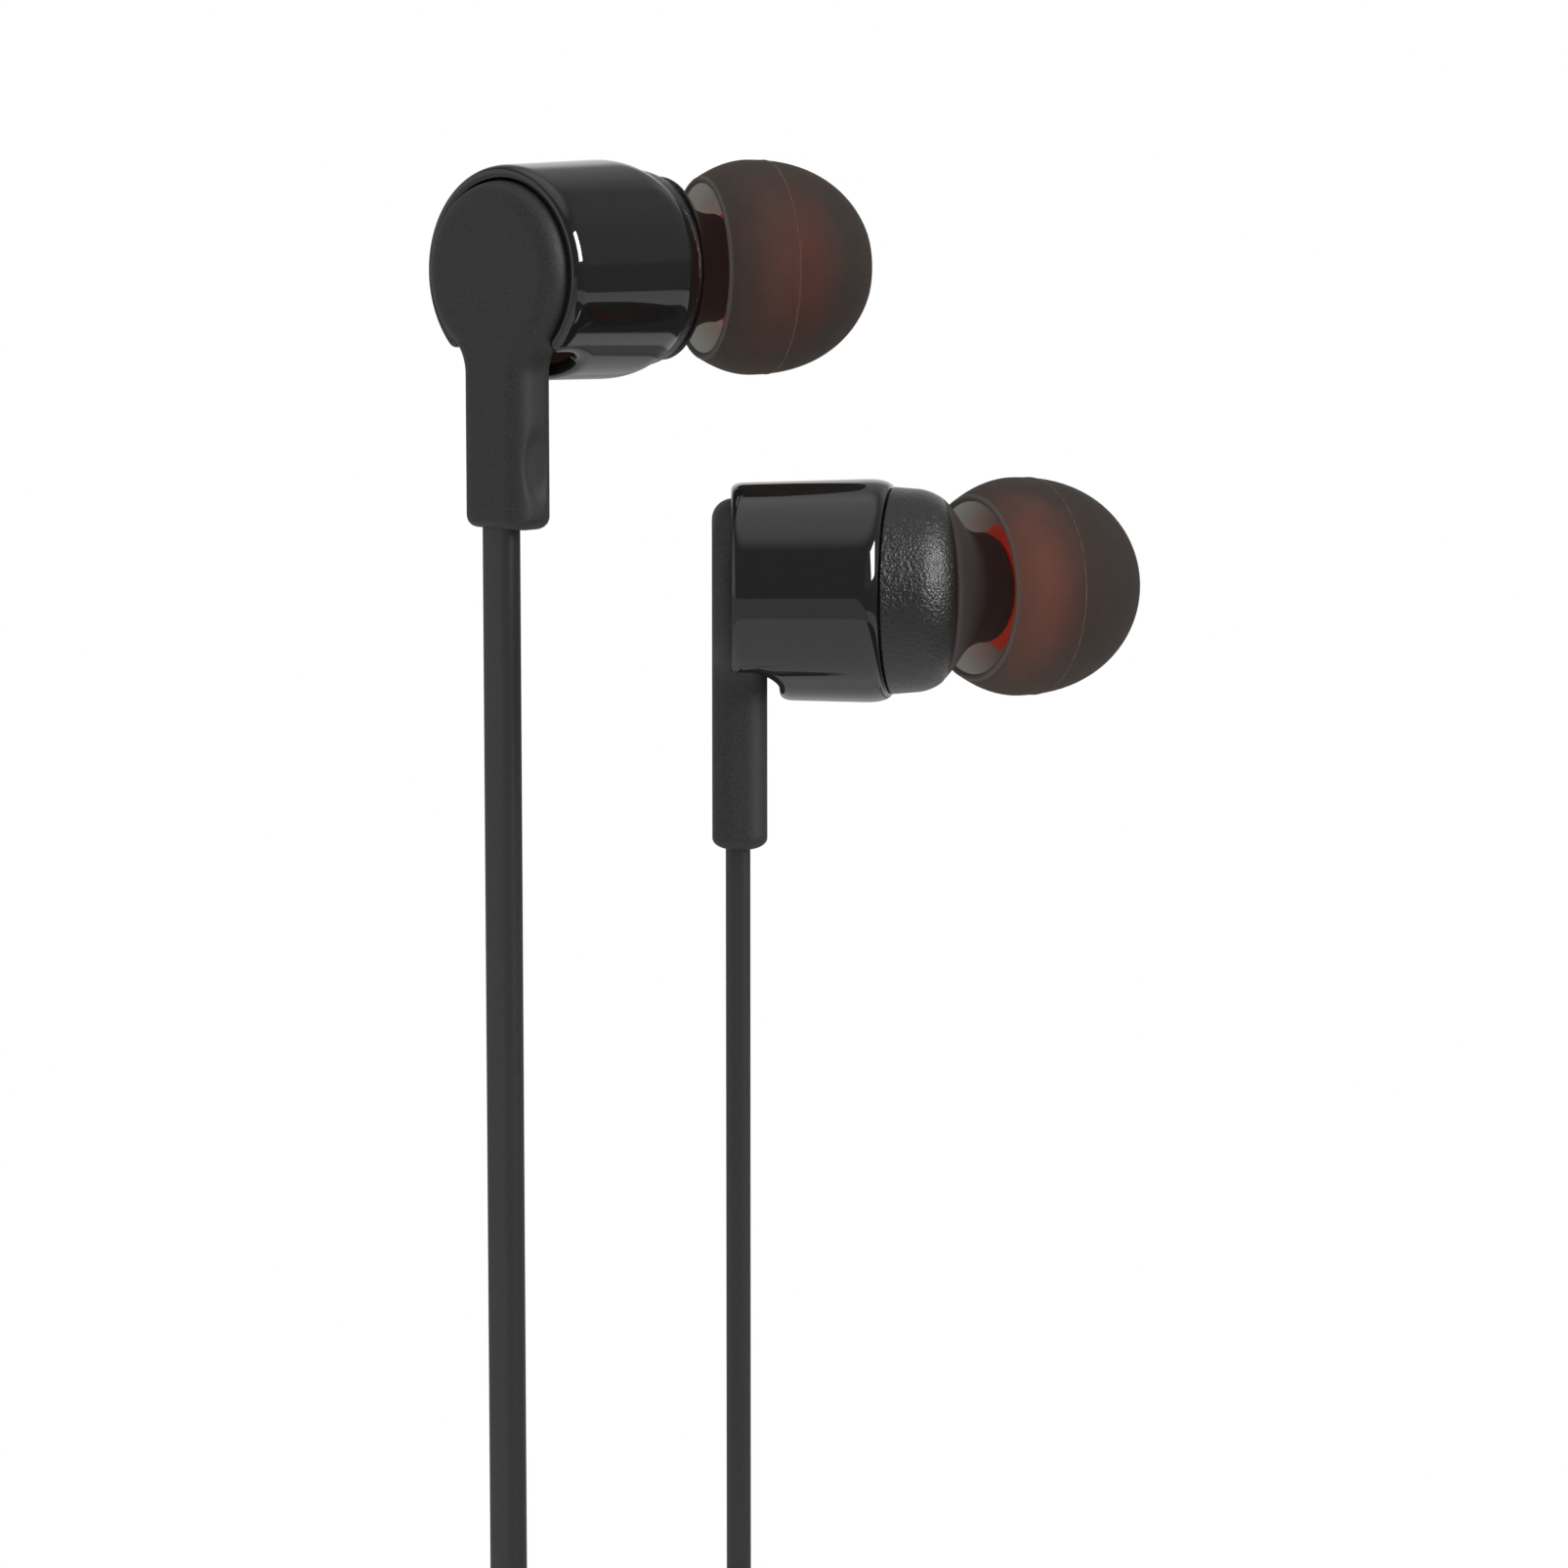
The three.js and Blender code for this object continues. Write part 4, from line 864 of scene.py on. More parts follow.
SHELL_LENGTH = 9.12
SHELL_REAR_RADIUS = 6.12
SHELL_FRONT_RADIUS = 6.36
SHELL_WALL = 0.74
SHELL_REAR_EDGE = (0.8, 0.4)  # length along the shell, drop
SHELL_FRONT_EDGE = (1.55, 0.62)
SHELL_EDGE_EASE = 2.4  # 2 is an ellipse, more starts more gently
SHELL_INNER_ROUND = 0.1
SEAM_SLOPE = math.tan(math.radians(9.7))
NOTCH_DEPTH = 2.8
NOTCH_SIDE_GAP = 1.6
NOTCH_CORNER = 1.8
NOTCH_OUTER_CORNER = 0.45

STEM_WIDTH = 5.0
STEM_ROUND = 1.2
STEM_END_ROUND = 0.6
STEM_CORNER = 0.75
STEM_CORNER_EASE = 0.45  # how fast that corner tightens as the outline is drawn in
STEM_CORNER_LEAST = 0.1
STEM_BLEND = 2.2
CAP_GAP = 0.15
CAP_PLATE = 1.4
CAP_SKIRT_WALL = 0.8
DIMPLE_DROP = 10.9
DIMPLE_HEIGHT = 5.1
DIMPLE_DEPTH = 0.22
DIMPLE_HALF_WIDTH = 0.36 * STEM_THICKNESS
DIMPLE_SLOPE = 0.45  # share of the dimple that its sides take
UPRIGHT = Matrix(((0, 0, 1, 0), (1, 0, 0, 0), (0, 1, 0, 0), (0, 0, 0, 1)))  # X, Y and Z to Y, Z and X

SEAM_GAP = 0.12
SEAM_STEP = 0.5
SPIGOT_DEPTH = 5.6
SPIGOT_WALL = 0.53
LEDGE_DEPTH = 3.22
LEDGE_RADIUS = 3.4
CHAMBER_DEPTH = 1.7
CHAMBER_CONE = 0.6
BODY_FACE = 13.12
BODY_TAPER = 0.2
SHOULDER_ROUND = 2.4
FACE_LEAN = 0.8  # how far the face leans back from the neck to the shoulder
TOP_LEAN = 1.3
NECK_BLEND = 1.65
NECK_RADIUS = 3.15
NECK_END = 7.0
NECK_END_ROUND = 0.3
GRAIN_END = 0.45  # share of the way to the neck's end at which the grain begins to fade
GRAIN_FADE = 0.2
HOUSING_RINGS = 46
HOUSING_POINTS = 112
NOZZLE_RADIUS = 2.35
LIP_RADIUS = 2.55
LIP_LENGTH = 1.5
LIP_SLOPE = 0.3  # length along the nozzle of each of the lip's two edges
LIP_BEND = (0.08, 0.1)  # half-way round its front edge: back from the end, in from the side
LIP_ROUND = 0.25
NOZZLE_END = 13.8
SOUND_BORE = 1.75
MESH_THICKNESS = 0.3
MESH_SEAT = 0.25
MESH_PITCH = 0.26
MESH_WIRE = 0.055
MESH_SWING = 0.05
MESH_RIM_WALL = 0.16
MESH_RIM_HALF = 0.14

SHELL_BORE = SHELL_REAR_RADIUS - SHELL_WALL
CAP_RADIUS = SHELL_BORE - CAP_GAP
BODY_RADIUS = SHELL_FRONT_RADIUS - SEAM_STEP
SPIGOT_RADIUS = SHELL_BORE - SEAM_GAP
SEAM = SHELL_LENGTH + SEAM_GAP


def shell_rear_edge(count):
    """Half of the shell's rear edge laid flat, from the notch's middle to the top: (way round, x)."""
    half_notch = STEM_WIDTH / 2 + NOTCH_SIDE_GAP
    side = SHELL_REAR_RADIUS * math.asin(half_notch / SHELL_REAR_RADIUS)
    corners = [(0, NOTCH_DEPTH), (side, NOTCH_DEPTH, NOTCH_CORNER), (side, 0, NOTCH_OUTER_CORNER),
               (math.pi * SHELL_REAR_RADIUS, 0)]
    return spread(rounded(corners, 10), count)


def edge_inward(edge):
    """At each point of a laid-flat edge, the way into the material."""
    ways = []
    for i in range(len(edge)):
        along = edge[min(i + 1, len(edge) - 1)] - edge[max(i - 1, 0)]
        ways.append(along.orthogonal().normalized())
    return ways


def shell_point(way_round, x, drawn_in, bore=False):
    """A laid-flat point of the shell put round it, drawn in from its outside or set on its bore."""
    outside = SHELL_REAR_RADIUS + (SHELL_FRONT_RADIUS - SHELL_REAR_RADIUS) * x / SHELL_LENGTH
    radius = SHELL_BORE + drawn_in if bore else outside - drawn_in
    angle = way_round / SHELL_REAR_RADIUS
    y = radius * math.sin(angle)
    return Vector((x + y * SEAM_SLOPE * x / SHELL_LENGTH, y, -radius * math.cos(angle)))


def eased_edge(edge, steps=10):
    """How an outside edge falls away: (back from the end, drop), from the body out to the end."""
    length, drop = edge
    power = 2 / SHELL_EDGE_EASE
    turns = [math.pi / 2 * k / steps for k in range(steps + 1)]
    return [(length * (1 - math.sin(a) ** power), drop * (1 - max(math.cos(a), 0.0) ** power))
            for a in turns]


def outer_shell():
    """The gloss tube: rings from its rear edge over the outside to the front, and back up the bore."""
    half_count = 120
    edge = shell_rear_edge(half_count + 1)
    inward = edge_inward(edge)
    sweep = math.pi * SHELL_REAR_RADIUS
    ways = [sweep * i / half_count for i in range(half_count + 1)]

    def ring(depth, drawn_in, share=0.0, bore=False, front=SHELL_LENGTH):
        points = []
        for rear, way, even in zip(edge, inward, ways):
            start = rear + way * depth
            flat = start.lerp(Vector((even, front)), share)
            points.append((flat.x, flat.y))
        right = [shell_point(a, x, drawn_in, bore) for a, x in points]
        left = [shell_point(-a, x, drawn_in, bore) for a, x in points[1:-1]]
        return right + left[::-1]

    rear = SHELL_REAR_EDGE[0]
    front = SHELL_LENGTH - SHELL_FRONT_EDGE[0]
    inner = SHELL_INNER_ROUND
    inner_front = SHELL_LENGTH - inner
    bend = inner * BEND
    rings = [ring(inner, 0, bore=True), ring(bend, bend, bore=True), ring(0, inner, bore=True)]
    rings += [ring(depth, drop) for depth, drop in reversed(eased_edge(SHELL_REAR_EDGE))]
    steps = 16
    rings += [ring(rear, 0, k / steps, front=front) for k in range(1, steps + 1)]
    rings += [ring(rear, drop, 1.0, front=SHELL_LENGTH - back)
              for back, drop in eased_edge(SHELL_FRONT_EDGE, 14)[1:]]
    rings += [ring(rear, inner, 1.0, bore=True), ring(rear, 0, 1.0, bore=True, front=inner_front)]
    bore_steps = 6
    rings += [ring(inner, 0, 1 - k / bore_steps, bore=True, front=inner_front)
              for k in range(1, bore_steps)]
    return loft(rings, joined=True)


def cap_outline(inset):
    """The cap's outline in Y and Z, drawn in: the disc, a fillet on each side, and the stem."""
    disc = CAP_RADIUS
    blend_y = STEM_WIDTH / 2 + STEM_BLEND
    blend_z = -math.sqrt((disc + STEM_BLEND) ** 2 - blend_y ** 2)
    touch = math.degrees(math.atan2(-blend_z, blend_y))
    blend = STEM_BLEND + inset
    half = STEM_WIDTH / 2 - inset
    low = -STEM_DROP + inset * STEM_END_ROUND / STEM_ROUND
    corner = max(STEM_CORNER - inset * STEM_CORNER_EASE, STEM_CORNER_LEAST)
    steps = 24
    left = [Vector((-half, blend_z + (low + corner - blend_z) * k / steps)) for k in range(1, steps)]
    right = [Vector((-p.x, p.y)) for p in reversed(left)]
    steps = 8
    floor = [Vector((2 * (half - corner) * (k / steps - 0.5), low)) for k in range(1, steps)]
    return (
        arc(-blend_y, blend_z, blend, touch, 0, 12) + left
        + arc(corner - half, low + corner, corner, 180, 270, 6) + floor
        + arc(half - corner, low + corner, corner, 270, 360, 6) + right
        + arc(blend_y, blend_z, blend, 180, 180 - touch, 12)
        + arc(0, 0, disc - inset, -touch, 180 + touch, 90)[1:-1]
    )


def rear_cap():
    """The cap's disc and stem in one moulding, with a shallow dimple in one flank of the stem."""
    bm = soft_block(cap_outline, -CAP_RISE, STEM_THICKNESS - CAP_RISE, STEM_ROUND, steps=10, lip=0.1)
    bm.transform(UPRIGHT)
    middle = STEM_THICKNESS / 2 - CAP_RISE
    for vert in bm.verts:
        off = math.hypot((vert.co.x - middle) / DIMPLE_HALF_WIDTH,
                         (vert.co.z + DIMPLE_DROP) / (DIMPLE_HEIGHT / 2))
        if vert.co.y > 0 and off < 1:
            vert.co.y -= DIMPLE_DEPTH * ease((1 - off) / DIMPLE_SLOPE)
    return bm


def cord_slot():
    """The cord's channel up the stem."""
    gap = 2 * SEAM_GAP
    outline = rounded_rectangle(CORD_THICKNESS + gap, CORD_WIDTH + gap, CORD_EDGE + SEAM_GAP, 5)
    heights = (-STEM_DROP - CUT_PAST, -CORD_SLOT_TOP)
    return loft([[Vector((CORD_X + p.x, p.y - CORD_OFFSET, z)) for p in outline] for z in heights])


def cap_hollow():
    """The room behind the driver, inside the cap's disc."""
    start = CAP_PLATE - CAP_RISE
    radius = CAP_RADIUS - CAP_SKIRT_WALL
    return turned([(start, 0), (start, radius), (STEM_THICKNESS, radius), (STEM_THICKNESS, 0)])


def nozzle_ring(along, radius):
    """A ring square to the nozzle: its two points in the plan, and its half height."""
    return beside_nozzle(along, -radius), beside_nozzle(along, radius), radius


def square_ring(x, radius):
    """The same for a ring square to the X axis."""
    return Vector((x, -radius)), Vector((x, radius)), radius


def hoop(far, near, height, count):
    """The points of such a ring."""
    points = []
    for i in range(count):
        angle = 2 * math.pi * i / count
        place = far.lerp(near, (1 + math.cos(angle)) / 2)
        points.append(Vector((place.x, place.y, height * math.sin(angle))))
    return points


def housing_rings():
    """The front housing's outside, from its seam over the shoulder and the face to the neck: each ring's
    two points in the plan, its half height, and how much grain it has."""
    tilt = BODY_RADIUS * SEAM_SLOPE
    shoulder = BODY_RADIUS - BODY_TAPER
    neck_far, neck_near, _ = nozzle_ring(NECK_END - 2 * NECK_END_ROUND, NECK_RADIUS)
    root_x = beside_nozzle(0, -NECK_RADIUS).x
    far_root = beside_nozzle((BODY_FACE - root_x) / math.cos(NOZZLE_ANGLE), -NECK_RADIUS)
    near_root = beside_nozzle(TIP_RIM - NECK_BLEND, NECK_RADIUS - NECK_BLEND / 6)
    far = rounded([(SEAM - tilt, -BODY_RADIUS), (BODY_FACE - FACE_LEAN, -shoulder, SHOULDER_ROUND),
                   (*far_root, NECK_BLEND), neck_far], 16)
    near = rounded([(SEAM + tilt, BODY_RADIUS), (SEAM + tilt + SEAM_STEP, BODY_RADIUS, SEAM_STEP),
                    (*near_root, NECK_BLEND / 2), neck_near], 12)
    top = rounded([(SEAM, BODY_RADIUS), (BODY_FACE - TOP_LEAN, shoulder, SHOULDER_ROUND),
                   (BODY_FACE + SEAM_GAP, NECK_RADIUS, NECK_BLEND), (NOZZLE_END, NECK_RADIUS)], 16)
    rings = []
    for k in range(HOUSING_RINGS):
        share = k / (HOUSING_RINGS - 1)
        a = point_along(far, share)
        b = point_along(near, share ** 2)
        grain = 1 - ease((share - GRAIN_END) / GRAIN_FADE)
        rings.append((a, b, height_at(top, (a.x + b.x) / 2), grain))
    return rings


def front_housing():
    """From the spigot in the shell over the outside to the nozzle's end, and back through its bore."""
    spigot = SHELL_LENGTH - SPIGOT_DEPTH
    tilt = SPIGOT_RADIUS * SEAM_SLOPE
    lip = NOZZLE_END - LIP_LENGTH
    ledge = BODY_FACE - LEDGE_DEPTH
    bore = SOUND_BORE
    seat = SOUND_BORE + MESH_SEAT
    seat_floor = NOZZLE_END - MESH_SEAT - MESH_THICKNESS
    bend = NECK_END_ROUND * BEND
    driver_bore = SPIGOT_RADIUS - SPIGOT_WALL
    nozzle = [
        (NECK_END - NECK_END_ROUND, NECK_RADIUS), (NECK_END - bend, NECK_RADIUS - bend),
        (NECK_END, NECK_RADIUS - NECK_END_ROUND), (NECK_END, NOZZLE_RADIUS), (lip, NOZZLE_RADIUS),
        (lip + LIP_SLOPE, LIP_RADIUS), (NOZZLE_END - LIP_SLOPE, LIP_RADIUS),
        (NOZZLE_END - LIP_BEND[0], LIP_RADIUS - LIP_BEND[1]), (NOZZLE_END, LIP_RADIUS - LIP_ROUND),
        (NOZZLE_END, seat), (seat_floor, seat), (seat_floor, bore), (NECK_END, bore),
        (NECK_END / 3, bore),
    ]
    inside = [
        (ledge + CHAMBER_DEPTH, bore), (ledge + CHAMBER_DEPTH - CHAMBER_CONE, LEDGE_RADIUS),
        (ledge, LEDGE_RADIUS), (ledge, driver_bore), (spigot, driver_bore),
    ]
    lean = Vector((tilt, 0))
    far, near, height = square_ring(SEAM, SPIGOT_RADIUS)
    rings = [(*square_ring(spigot, SPIGOT_RADIUS), 0), (far - lean, near + lean, height, 1)]
    rings += housing_rings()
    rings += [(*nozzle_ring(along, radius), 0) for along, radius in nozzle]
    rings += [(*square_ring(x, radius), 0) for x, radius in inside]
    return loft([hoop(*ring, HOUSING_POINTS) for *ring, _ in rings], joined=True,
                marks={"grain": [grain for *_, grain in rings]})


def mesh_weave():
    """Woven steel mesh across the nozzle: two sets of wires that pass over and under each other."""
    radius = SOUND_BORE + MESH_SEAT - SEAM_GAP
    count = int(radius / MESH_PITCH)
    x = NOZZLE_END - MESH_SEAT - MESH_THICKNESS / 2
    strands = []
    for turn in range(2):
        for row in range(-count, count + 1):
            aside = row * MESH_PITCH
            half = math.sqrt(radius ** 2 - aside ** 2)
            steps = 2 * max(2, round(half / MESH_PITCH)) + 1
            rings = []
            for k in range(steps):
                at = -half + 2 * half * k / (steps - 1)
                over = x + MESH_SWING * math.cos(math.pi * (at / MESH_PITCH + row + turn))
                section = arc(over, aside, MESH_WIRE, 0, 270, 3)
                rings.append([Vector((p.x, p.y, at) if turn else (p.x, at, p.y)) for p in section])
            strands.append(loft(rings))
    rear = x - MESH_RIM_HALF
    front = x + MESH_RIM_HALF
    rim = turned([(rear, radius - MESH_RIM_WALL), (rear, radius), (front, radius),
                  (front, radius - MESH_RIM_WALL)], 48)
    return merged(rim, *strands)


# ---------------------------------------------------------------- ear tip

TIP_RIM = 6.05
TIP_RIM_RADIUS = 5.36
TIP_WIDEST = 8.78
TIP_RADIUS = 6.27
TIP_POLE = 16.23
TIP_MOUTH_BORE = 2.15
TIP_WALL = 0.45
TIP_CURVE = 2.275
SKIRT_CURVE = 1.87
TIP_CROWN = 0.55  # wall at the pole
TIP_MOUTH_EDGE = 0.3
TIP_MOUTH_ROUND = 0.2
TIP_RIM_ROUND = 0.46 * TIP_WALL
TIP_CLEAREST = {"right": 10.6, "left": 7.6}  # where each tip's wall is clearest, and how widely; this places each tip's painted red glow
TIP_CLEAR_WIDTH = 3.3
TIP_DEEP = 5.0  # the inside's painted backlight is pale at the rim, darker this deep as painted shade
TIP_DEEP_SHADE = 0.75
INSIDE_CLEAR = 0.6
MOUTH_CLEAR = 0.1
RIM_MARKS = (0.08, 0.4, 0.1)  # the rim's share of moulding line, clear wall and pale inside, as a painted light edge
MOULD_LINE = 9.8
MOULD_LINE_WIDTH = 0.045
MOULD_LINE_HEIGHT = 0.03
MOULD_LINE_SHAPE = ((-1, 0), (-0.5, 0.6), (0, 1), (0.5, 0.6), (1, 0))
CORE_GAP = 0.15  # round the nozzle's lip
CORE_WALL = 0.95
CORE_FRONT = 14.05
CORE_LEAD_IN = 0.72
CORE_LEAD_SLOPE = 1.3  # the lead-in's length, as a share of its depth
CORE_EDGE = 0.1
CORE_SHOULDER = 0.4
CORE_BORE = LIP_RADIUS + CORE_GAP
CORE_RADIUS = CORE_BORE + CORE_WALL
CORE_REAR = NECK_END + SEAM_GAP


def skirt_radius(along, rim, widest):
    share = (TIP_WIDEST - along) / (TIP_WIDEST - TIP_RIM)
    return widest - (widest - rim) * share ** SKIRT_CURVE


def dome_radius(along, widest, pole):
    share = (along - TIP_WIDEST) / (pole - TIP_WIDEST)
    return widest * math.sqrt(max(0.0, 1 - share ** TIP_CURVE))


def tip_side(rim, widest, pole, end):
    """One side of the tip's wall from its rim towards its mouth, with the moulding line on it."""
    skirt_steps = 14
    dome_steps = 26
    skirt = [TIP_RIM + (TIP_WIDEST - TIP_RIM) * k / skirt_steps for k in range(skirt_steps)]
    dome = [TIP_WIDEST + (end - TIP_WIDEST) * math.sin(math.pi / 2 * k / dome_steps)
            for k in range(dome_steps + 1)]
    places = [(x, skirt_radius(x, rim, widest), 0) for x in skirt]
    places += [(x, dome_radius(x, widest, pole), 0) for x in dome
               if abs(x - MOULD_LINE) > 2 * MOULD_LINE_WIDTH]
    for off, mark in MOULD_LINE_SHAPE:
        x = MOULD_LINE + off * MOULD_LINE_WIDTH
        places.append((x, dome_radius(x, widest, pole) + mark * MOULD_LINE_HEIGHT, mark))
    return sorted(places)


def tip_dome(clearest):
    """The dome's profile, spun: the outside to the mouth, the inside back, and round the rim. Each point
    is (along, radius) and its share of moulding line, clear wall and pale inside; the pale inside is
    painted backlight, darker deeper in as painted shade."""
    seat = CORE_RADIUS + SEAM_GAP
    seat_front = CORE_FRONT + SEAM_GAP
    inner_widest = TIP_RADIUS - TIP_WALL
    inner_pole = CORE_FRONT + TIP_CROWN
    seat_share = math.sqrt(1 - (seat / inner_widest) ** 2)
    inner_end = TIP_WIDEST + (inner_pole - TIP_WIDEST) * seat_share ** (2 / TIP_CURVE)
    outer_side = tip_side(TIP_RIM_RADIUS, TIP_RADIUS, TIP_POLE, TIP_MOUTH - SEAM_GAP)
    inner_side = tip_side(TIP_RIM_RADIUS - TIP_WALL, inner_widest, inner_pole, inner_end)
    outside = [(x, radius, line, math.exp(-((x - clearest) / TIP_CLEAR_WIDTH) ** 2), 0)
               for x, radius, line in outer_side]
    # The inside mark: painted backlight, fading deeper in as painted shade.
    inside = [(x, radius, line, INSIDE_CLEAR, 1 - TIP_DEEP_SHADE * ease((x - TIP_RIM) / TIP_DEEP))
              for x, radius, line in inner_side]
    mouth = rounded([outside[-1][:2], (TIP_MOUTH, TIP_MOUTH_BORE + TIP_MOUTH_EDGE, TIP_MOUTH_ROUND),
                     (TIP_MOUTH - TIP_MOUTH_EDGE, TIP_MOUTH_BORE, TIP_MOUTH_ROUND),
                     (seat_front, TIP_MOUTH_BORE), (seat_front, seat)], 4)
    rim = [(p.y, p.x, *RIM_MARKS)
           for p in arc(TIP_RIM_RADIUS - TIP_WALL / 2, TIP_RIM, TIP_RIM_ROUND, 210, 330, 4)]
    profile = outside + [(*p, 0, MOUTH_CLEAR, 0) for p in mouth[1:]] + inside[::-1] + rim
    rings = [hoop(*square_ring(x, radius), 144) for x, radius, *_ in profile]
    levels = zip(*[marks for _, _, *marks in profile])
    return loft(rings, joined=True, marks=dict(zip(("line", "clarity", "inside"), levels)))


def tip_core():
    """The sleeve round the nozzle, with its outside sloped off at the rear."""
    edge = CORE_EDGE
    slope_end = CORE_REAR + CORE_LEAD_IN * CORE_LEAD_SLOPE
    corners = [(CORE_REAR, CORE_BORE, edge), (CORE_REAR, CORE_RADIUS - CORE_LEAD_IN, edge),
               (slope_end, CORE_RADIUS, CORE_SHOULDER), (CORE_FRONT, CORE_RADIUS, edge),
               (CORE_FRONT, CORE_BORE, edge)]
    return turned(rounded(corners, 5, closed=True), 112)


def make_earpiece(side):
    place = HELD[side]
    nozzle = place @ ON_NOZZLE
    tip = f"{side}_tip"
    plan = [
        ("gloss_shell", outer_shell(), place, "shell_gloss", "outer_shell", "root"),
        ("cap_and_stem", rear_cap(), place, "cap_matte", "rear_cap", "root"),
        ("grained_housing", front_housing(), place, "housing_grain", "front_housing", "root"),
        ("woven_mesh", mesh_weave(), nozzle, "mesh_steel", "nozzle_mesh", "root"),
        ("tip_dome", tip_dome(TIP_CLEAREST[side]), nozzle, "tip_silicone", "ear_tip_dome", tip),
        ("tip_core", tip_core(), nozzle, "core_silicone", "ear_tip_core", tip),
    ]
    for name, bm, spot, slot, node, body in plan:
        piece(f"{side}_{name}", bm, spot, slot, [f"{side}_{node}"], body)
    for cutter in (cord_slot(), cap_hollow()):
        carve(bpy.data.objects[f"{side}_cap_and_stem"], cutter, place)


# ---------------------------------------------------------------- remote

REMOTE_HEIGHT = 20.0
REMOTE_WIDTH = 6.6
REMOTE_DEPTH = 5.2
REMOTE_WALL = 0.8
REMOTE_CORNER = 1.6
REMOTE_ROUND = 0.6
REMOTE_HOLLOW_ROUND = 0.2
RELIEF_LENGTH = 4.0
RELIEF_ROOT = 2.1
RELIEF_END = 1.5
RELIEF_RIBS = 4
RELIEF_EDGE = 0.18
RELIEF_GROOVE = 0.22
RELIEF_SHAPE = ((0.30, 0), (0.38, 0.6), (0.5, 1), (0.72, 1), (0.84, 0.6), (0.92, 0))
BUTTON_HEIGHT = 7.0
BUTTON_WIDTH = 3.6
BUTTON_CORNER = 0.8
BUTTON_ROUND = 0.2
BUTTON_PROUD = 0.5
BUTTON_FLANGE = 0.4
BUTTON_FLANGE_RIM = 0.5
BUTTON_FLANGE_EDGE = 0.1
BUTTON_DISH = 0.22
BUTTON_DISH_FLOOR = 0.08
BUTTON_DISH_SLOPE = 0.8  # share of the half width over which the dish falls
WINDOW_GAP = 0.15
CUTTER_EDGE = 0.05
MIC_DROP = 7.1
MIC_HOLE = 0.35
REMOTE_MIDDLE = (REMOTE_TOP + REMOTE_END) / 2
TO_FRONT = Matrix.Rotation(math.pi / 2, 4, "X")  # from facing up to facing the front


def remote_half(front):
    """What is cut from a closed block to leave one half of the remote's case: the other half, the hollow
    and the cord's way, and in front also the key's window and the microphone's hole."""
    far = REMOTE_HEIGHT
    half = SEAM_GAP / 2
    other = soft_block(block_outline(far, far + half, CUTTER_EDGE), -far, far, CUTTER_EDGE)
    other.transform(Matrix.Translation((0, (far - half) / 2 * (1 if front else -1), 0)))
    wall = 2 * REMOTE_WALL
    end = (REMOTE_HEIGHT - wall) / 2
    hollow = block_outline(REMOTE_WIDTH - wall, REMOTE_DEPTH - wall, REMOTE_CORNER - REMOTE_WALL)
    way = CORD_WIDTH + 2 * WINDOW_GAP
    cutters = [soft_block(hollow, -end, end, REMOTE_HOLLOW_ROUND), other,
               soft_block(block_outline(way, way, CORD_WIDTH / 2), -far, far, CUTTER_EDGE)]
    if front:
        gap = 2 * WINDOW_GAP
        outline = block_outline(BUTTON_WIDTH + gap, BUTTON_HEIGHT + gap, BUTTON_CORNER + WINDOW_GAP)
        window = soft_block(outline, 0, REMOTE_DEPTH, CUTTER_EDGE)
        window.transform(TO_FRONT)
        hole = turned([(-REMOTE_DEPTH, 0), (-REMOTE_DEPTH, MIC_HOLE), (0, MIC_HOLE), (0, 0)], 32)
        hole.transform(Matrix.Translation((0, 0, -MIC_DROP)) @ Matrix.Rotation(math.pi / 2, 4, "Z"))
        cutters += [window, hole]
    return cutters


def volume_button():
    """One long key with a shallow dish for the finger, on a flange that keeps it in the case."""
    front = REMOTE_DEPTH / 2 + BUTTON_PROUD
    flange_front = REMOTE_DEPTH / 2 - REMOTE_WALL - SEAM_GAP
    flange_rear = flange_front - BUTTON_FLANGE
    outline = block_outline(BUTTON_WIDTH, BUTTON_HEIGHT, BUTTON_CORNER, 6)
    edge = BUTTON_FLANGE_EDGE
    wide = -BUTTON_FLANGE_RIM
    levels = [(wide + edge, flange_rear), (wide, flange_rear + edge), (wide, flange_front - edge),
              (wide + edge, flange_front), (0, flange_front)]
    levels += [(inset, front - down) for inset, down in reversed(rim_round(BUTTON_ROUND, 5))]
    steps = 11
    middle = BUTTON_WIDTH / 2
    dish = middle - BUTTON_ROUND - BUTTON_DISH_FLOOR
    for k in range(1, steps + 1):
        inward = dish * k / steps
        down = BUTTON_DISH * ease(inward / (middle * BUTTON_DISH_SLOPE))
        levels.append((BUTTON_ROUND + inward, front - down))
    bm = loft([[Vector((p.x, p.y, z)) for p in outline(inset)] for inset, z in levels])
    bm.transform(TO_FRONT)
    return bm


def ribbed_relief(length, root, end, ribs):
    """A tapered strain relief with rounded grooves round it, from its root at X = 0."""
    edge = RELIEF_EDGE
    profile = [(0, 0), (0, root - edge), (edge, root)]
    pitch = (length - 4 * edge) / ribs
    for k in range(ribs):
        for share, depth in RELIEF_SHAPE:
            x = 2 * edge + pitch * (k + share)
            profile.append((x, root + (end - root) * x / length - RELIEF_GROOVE * depth))
    profile += [(length - edge, end + (root - end) * edge / length), (length, end - edge), (length, 0)]
    return turned(profile, 64)


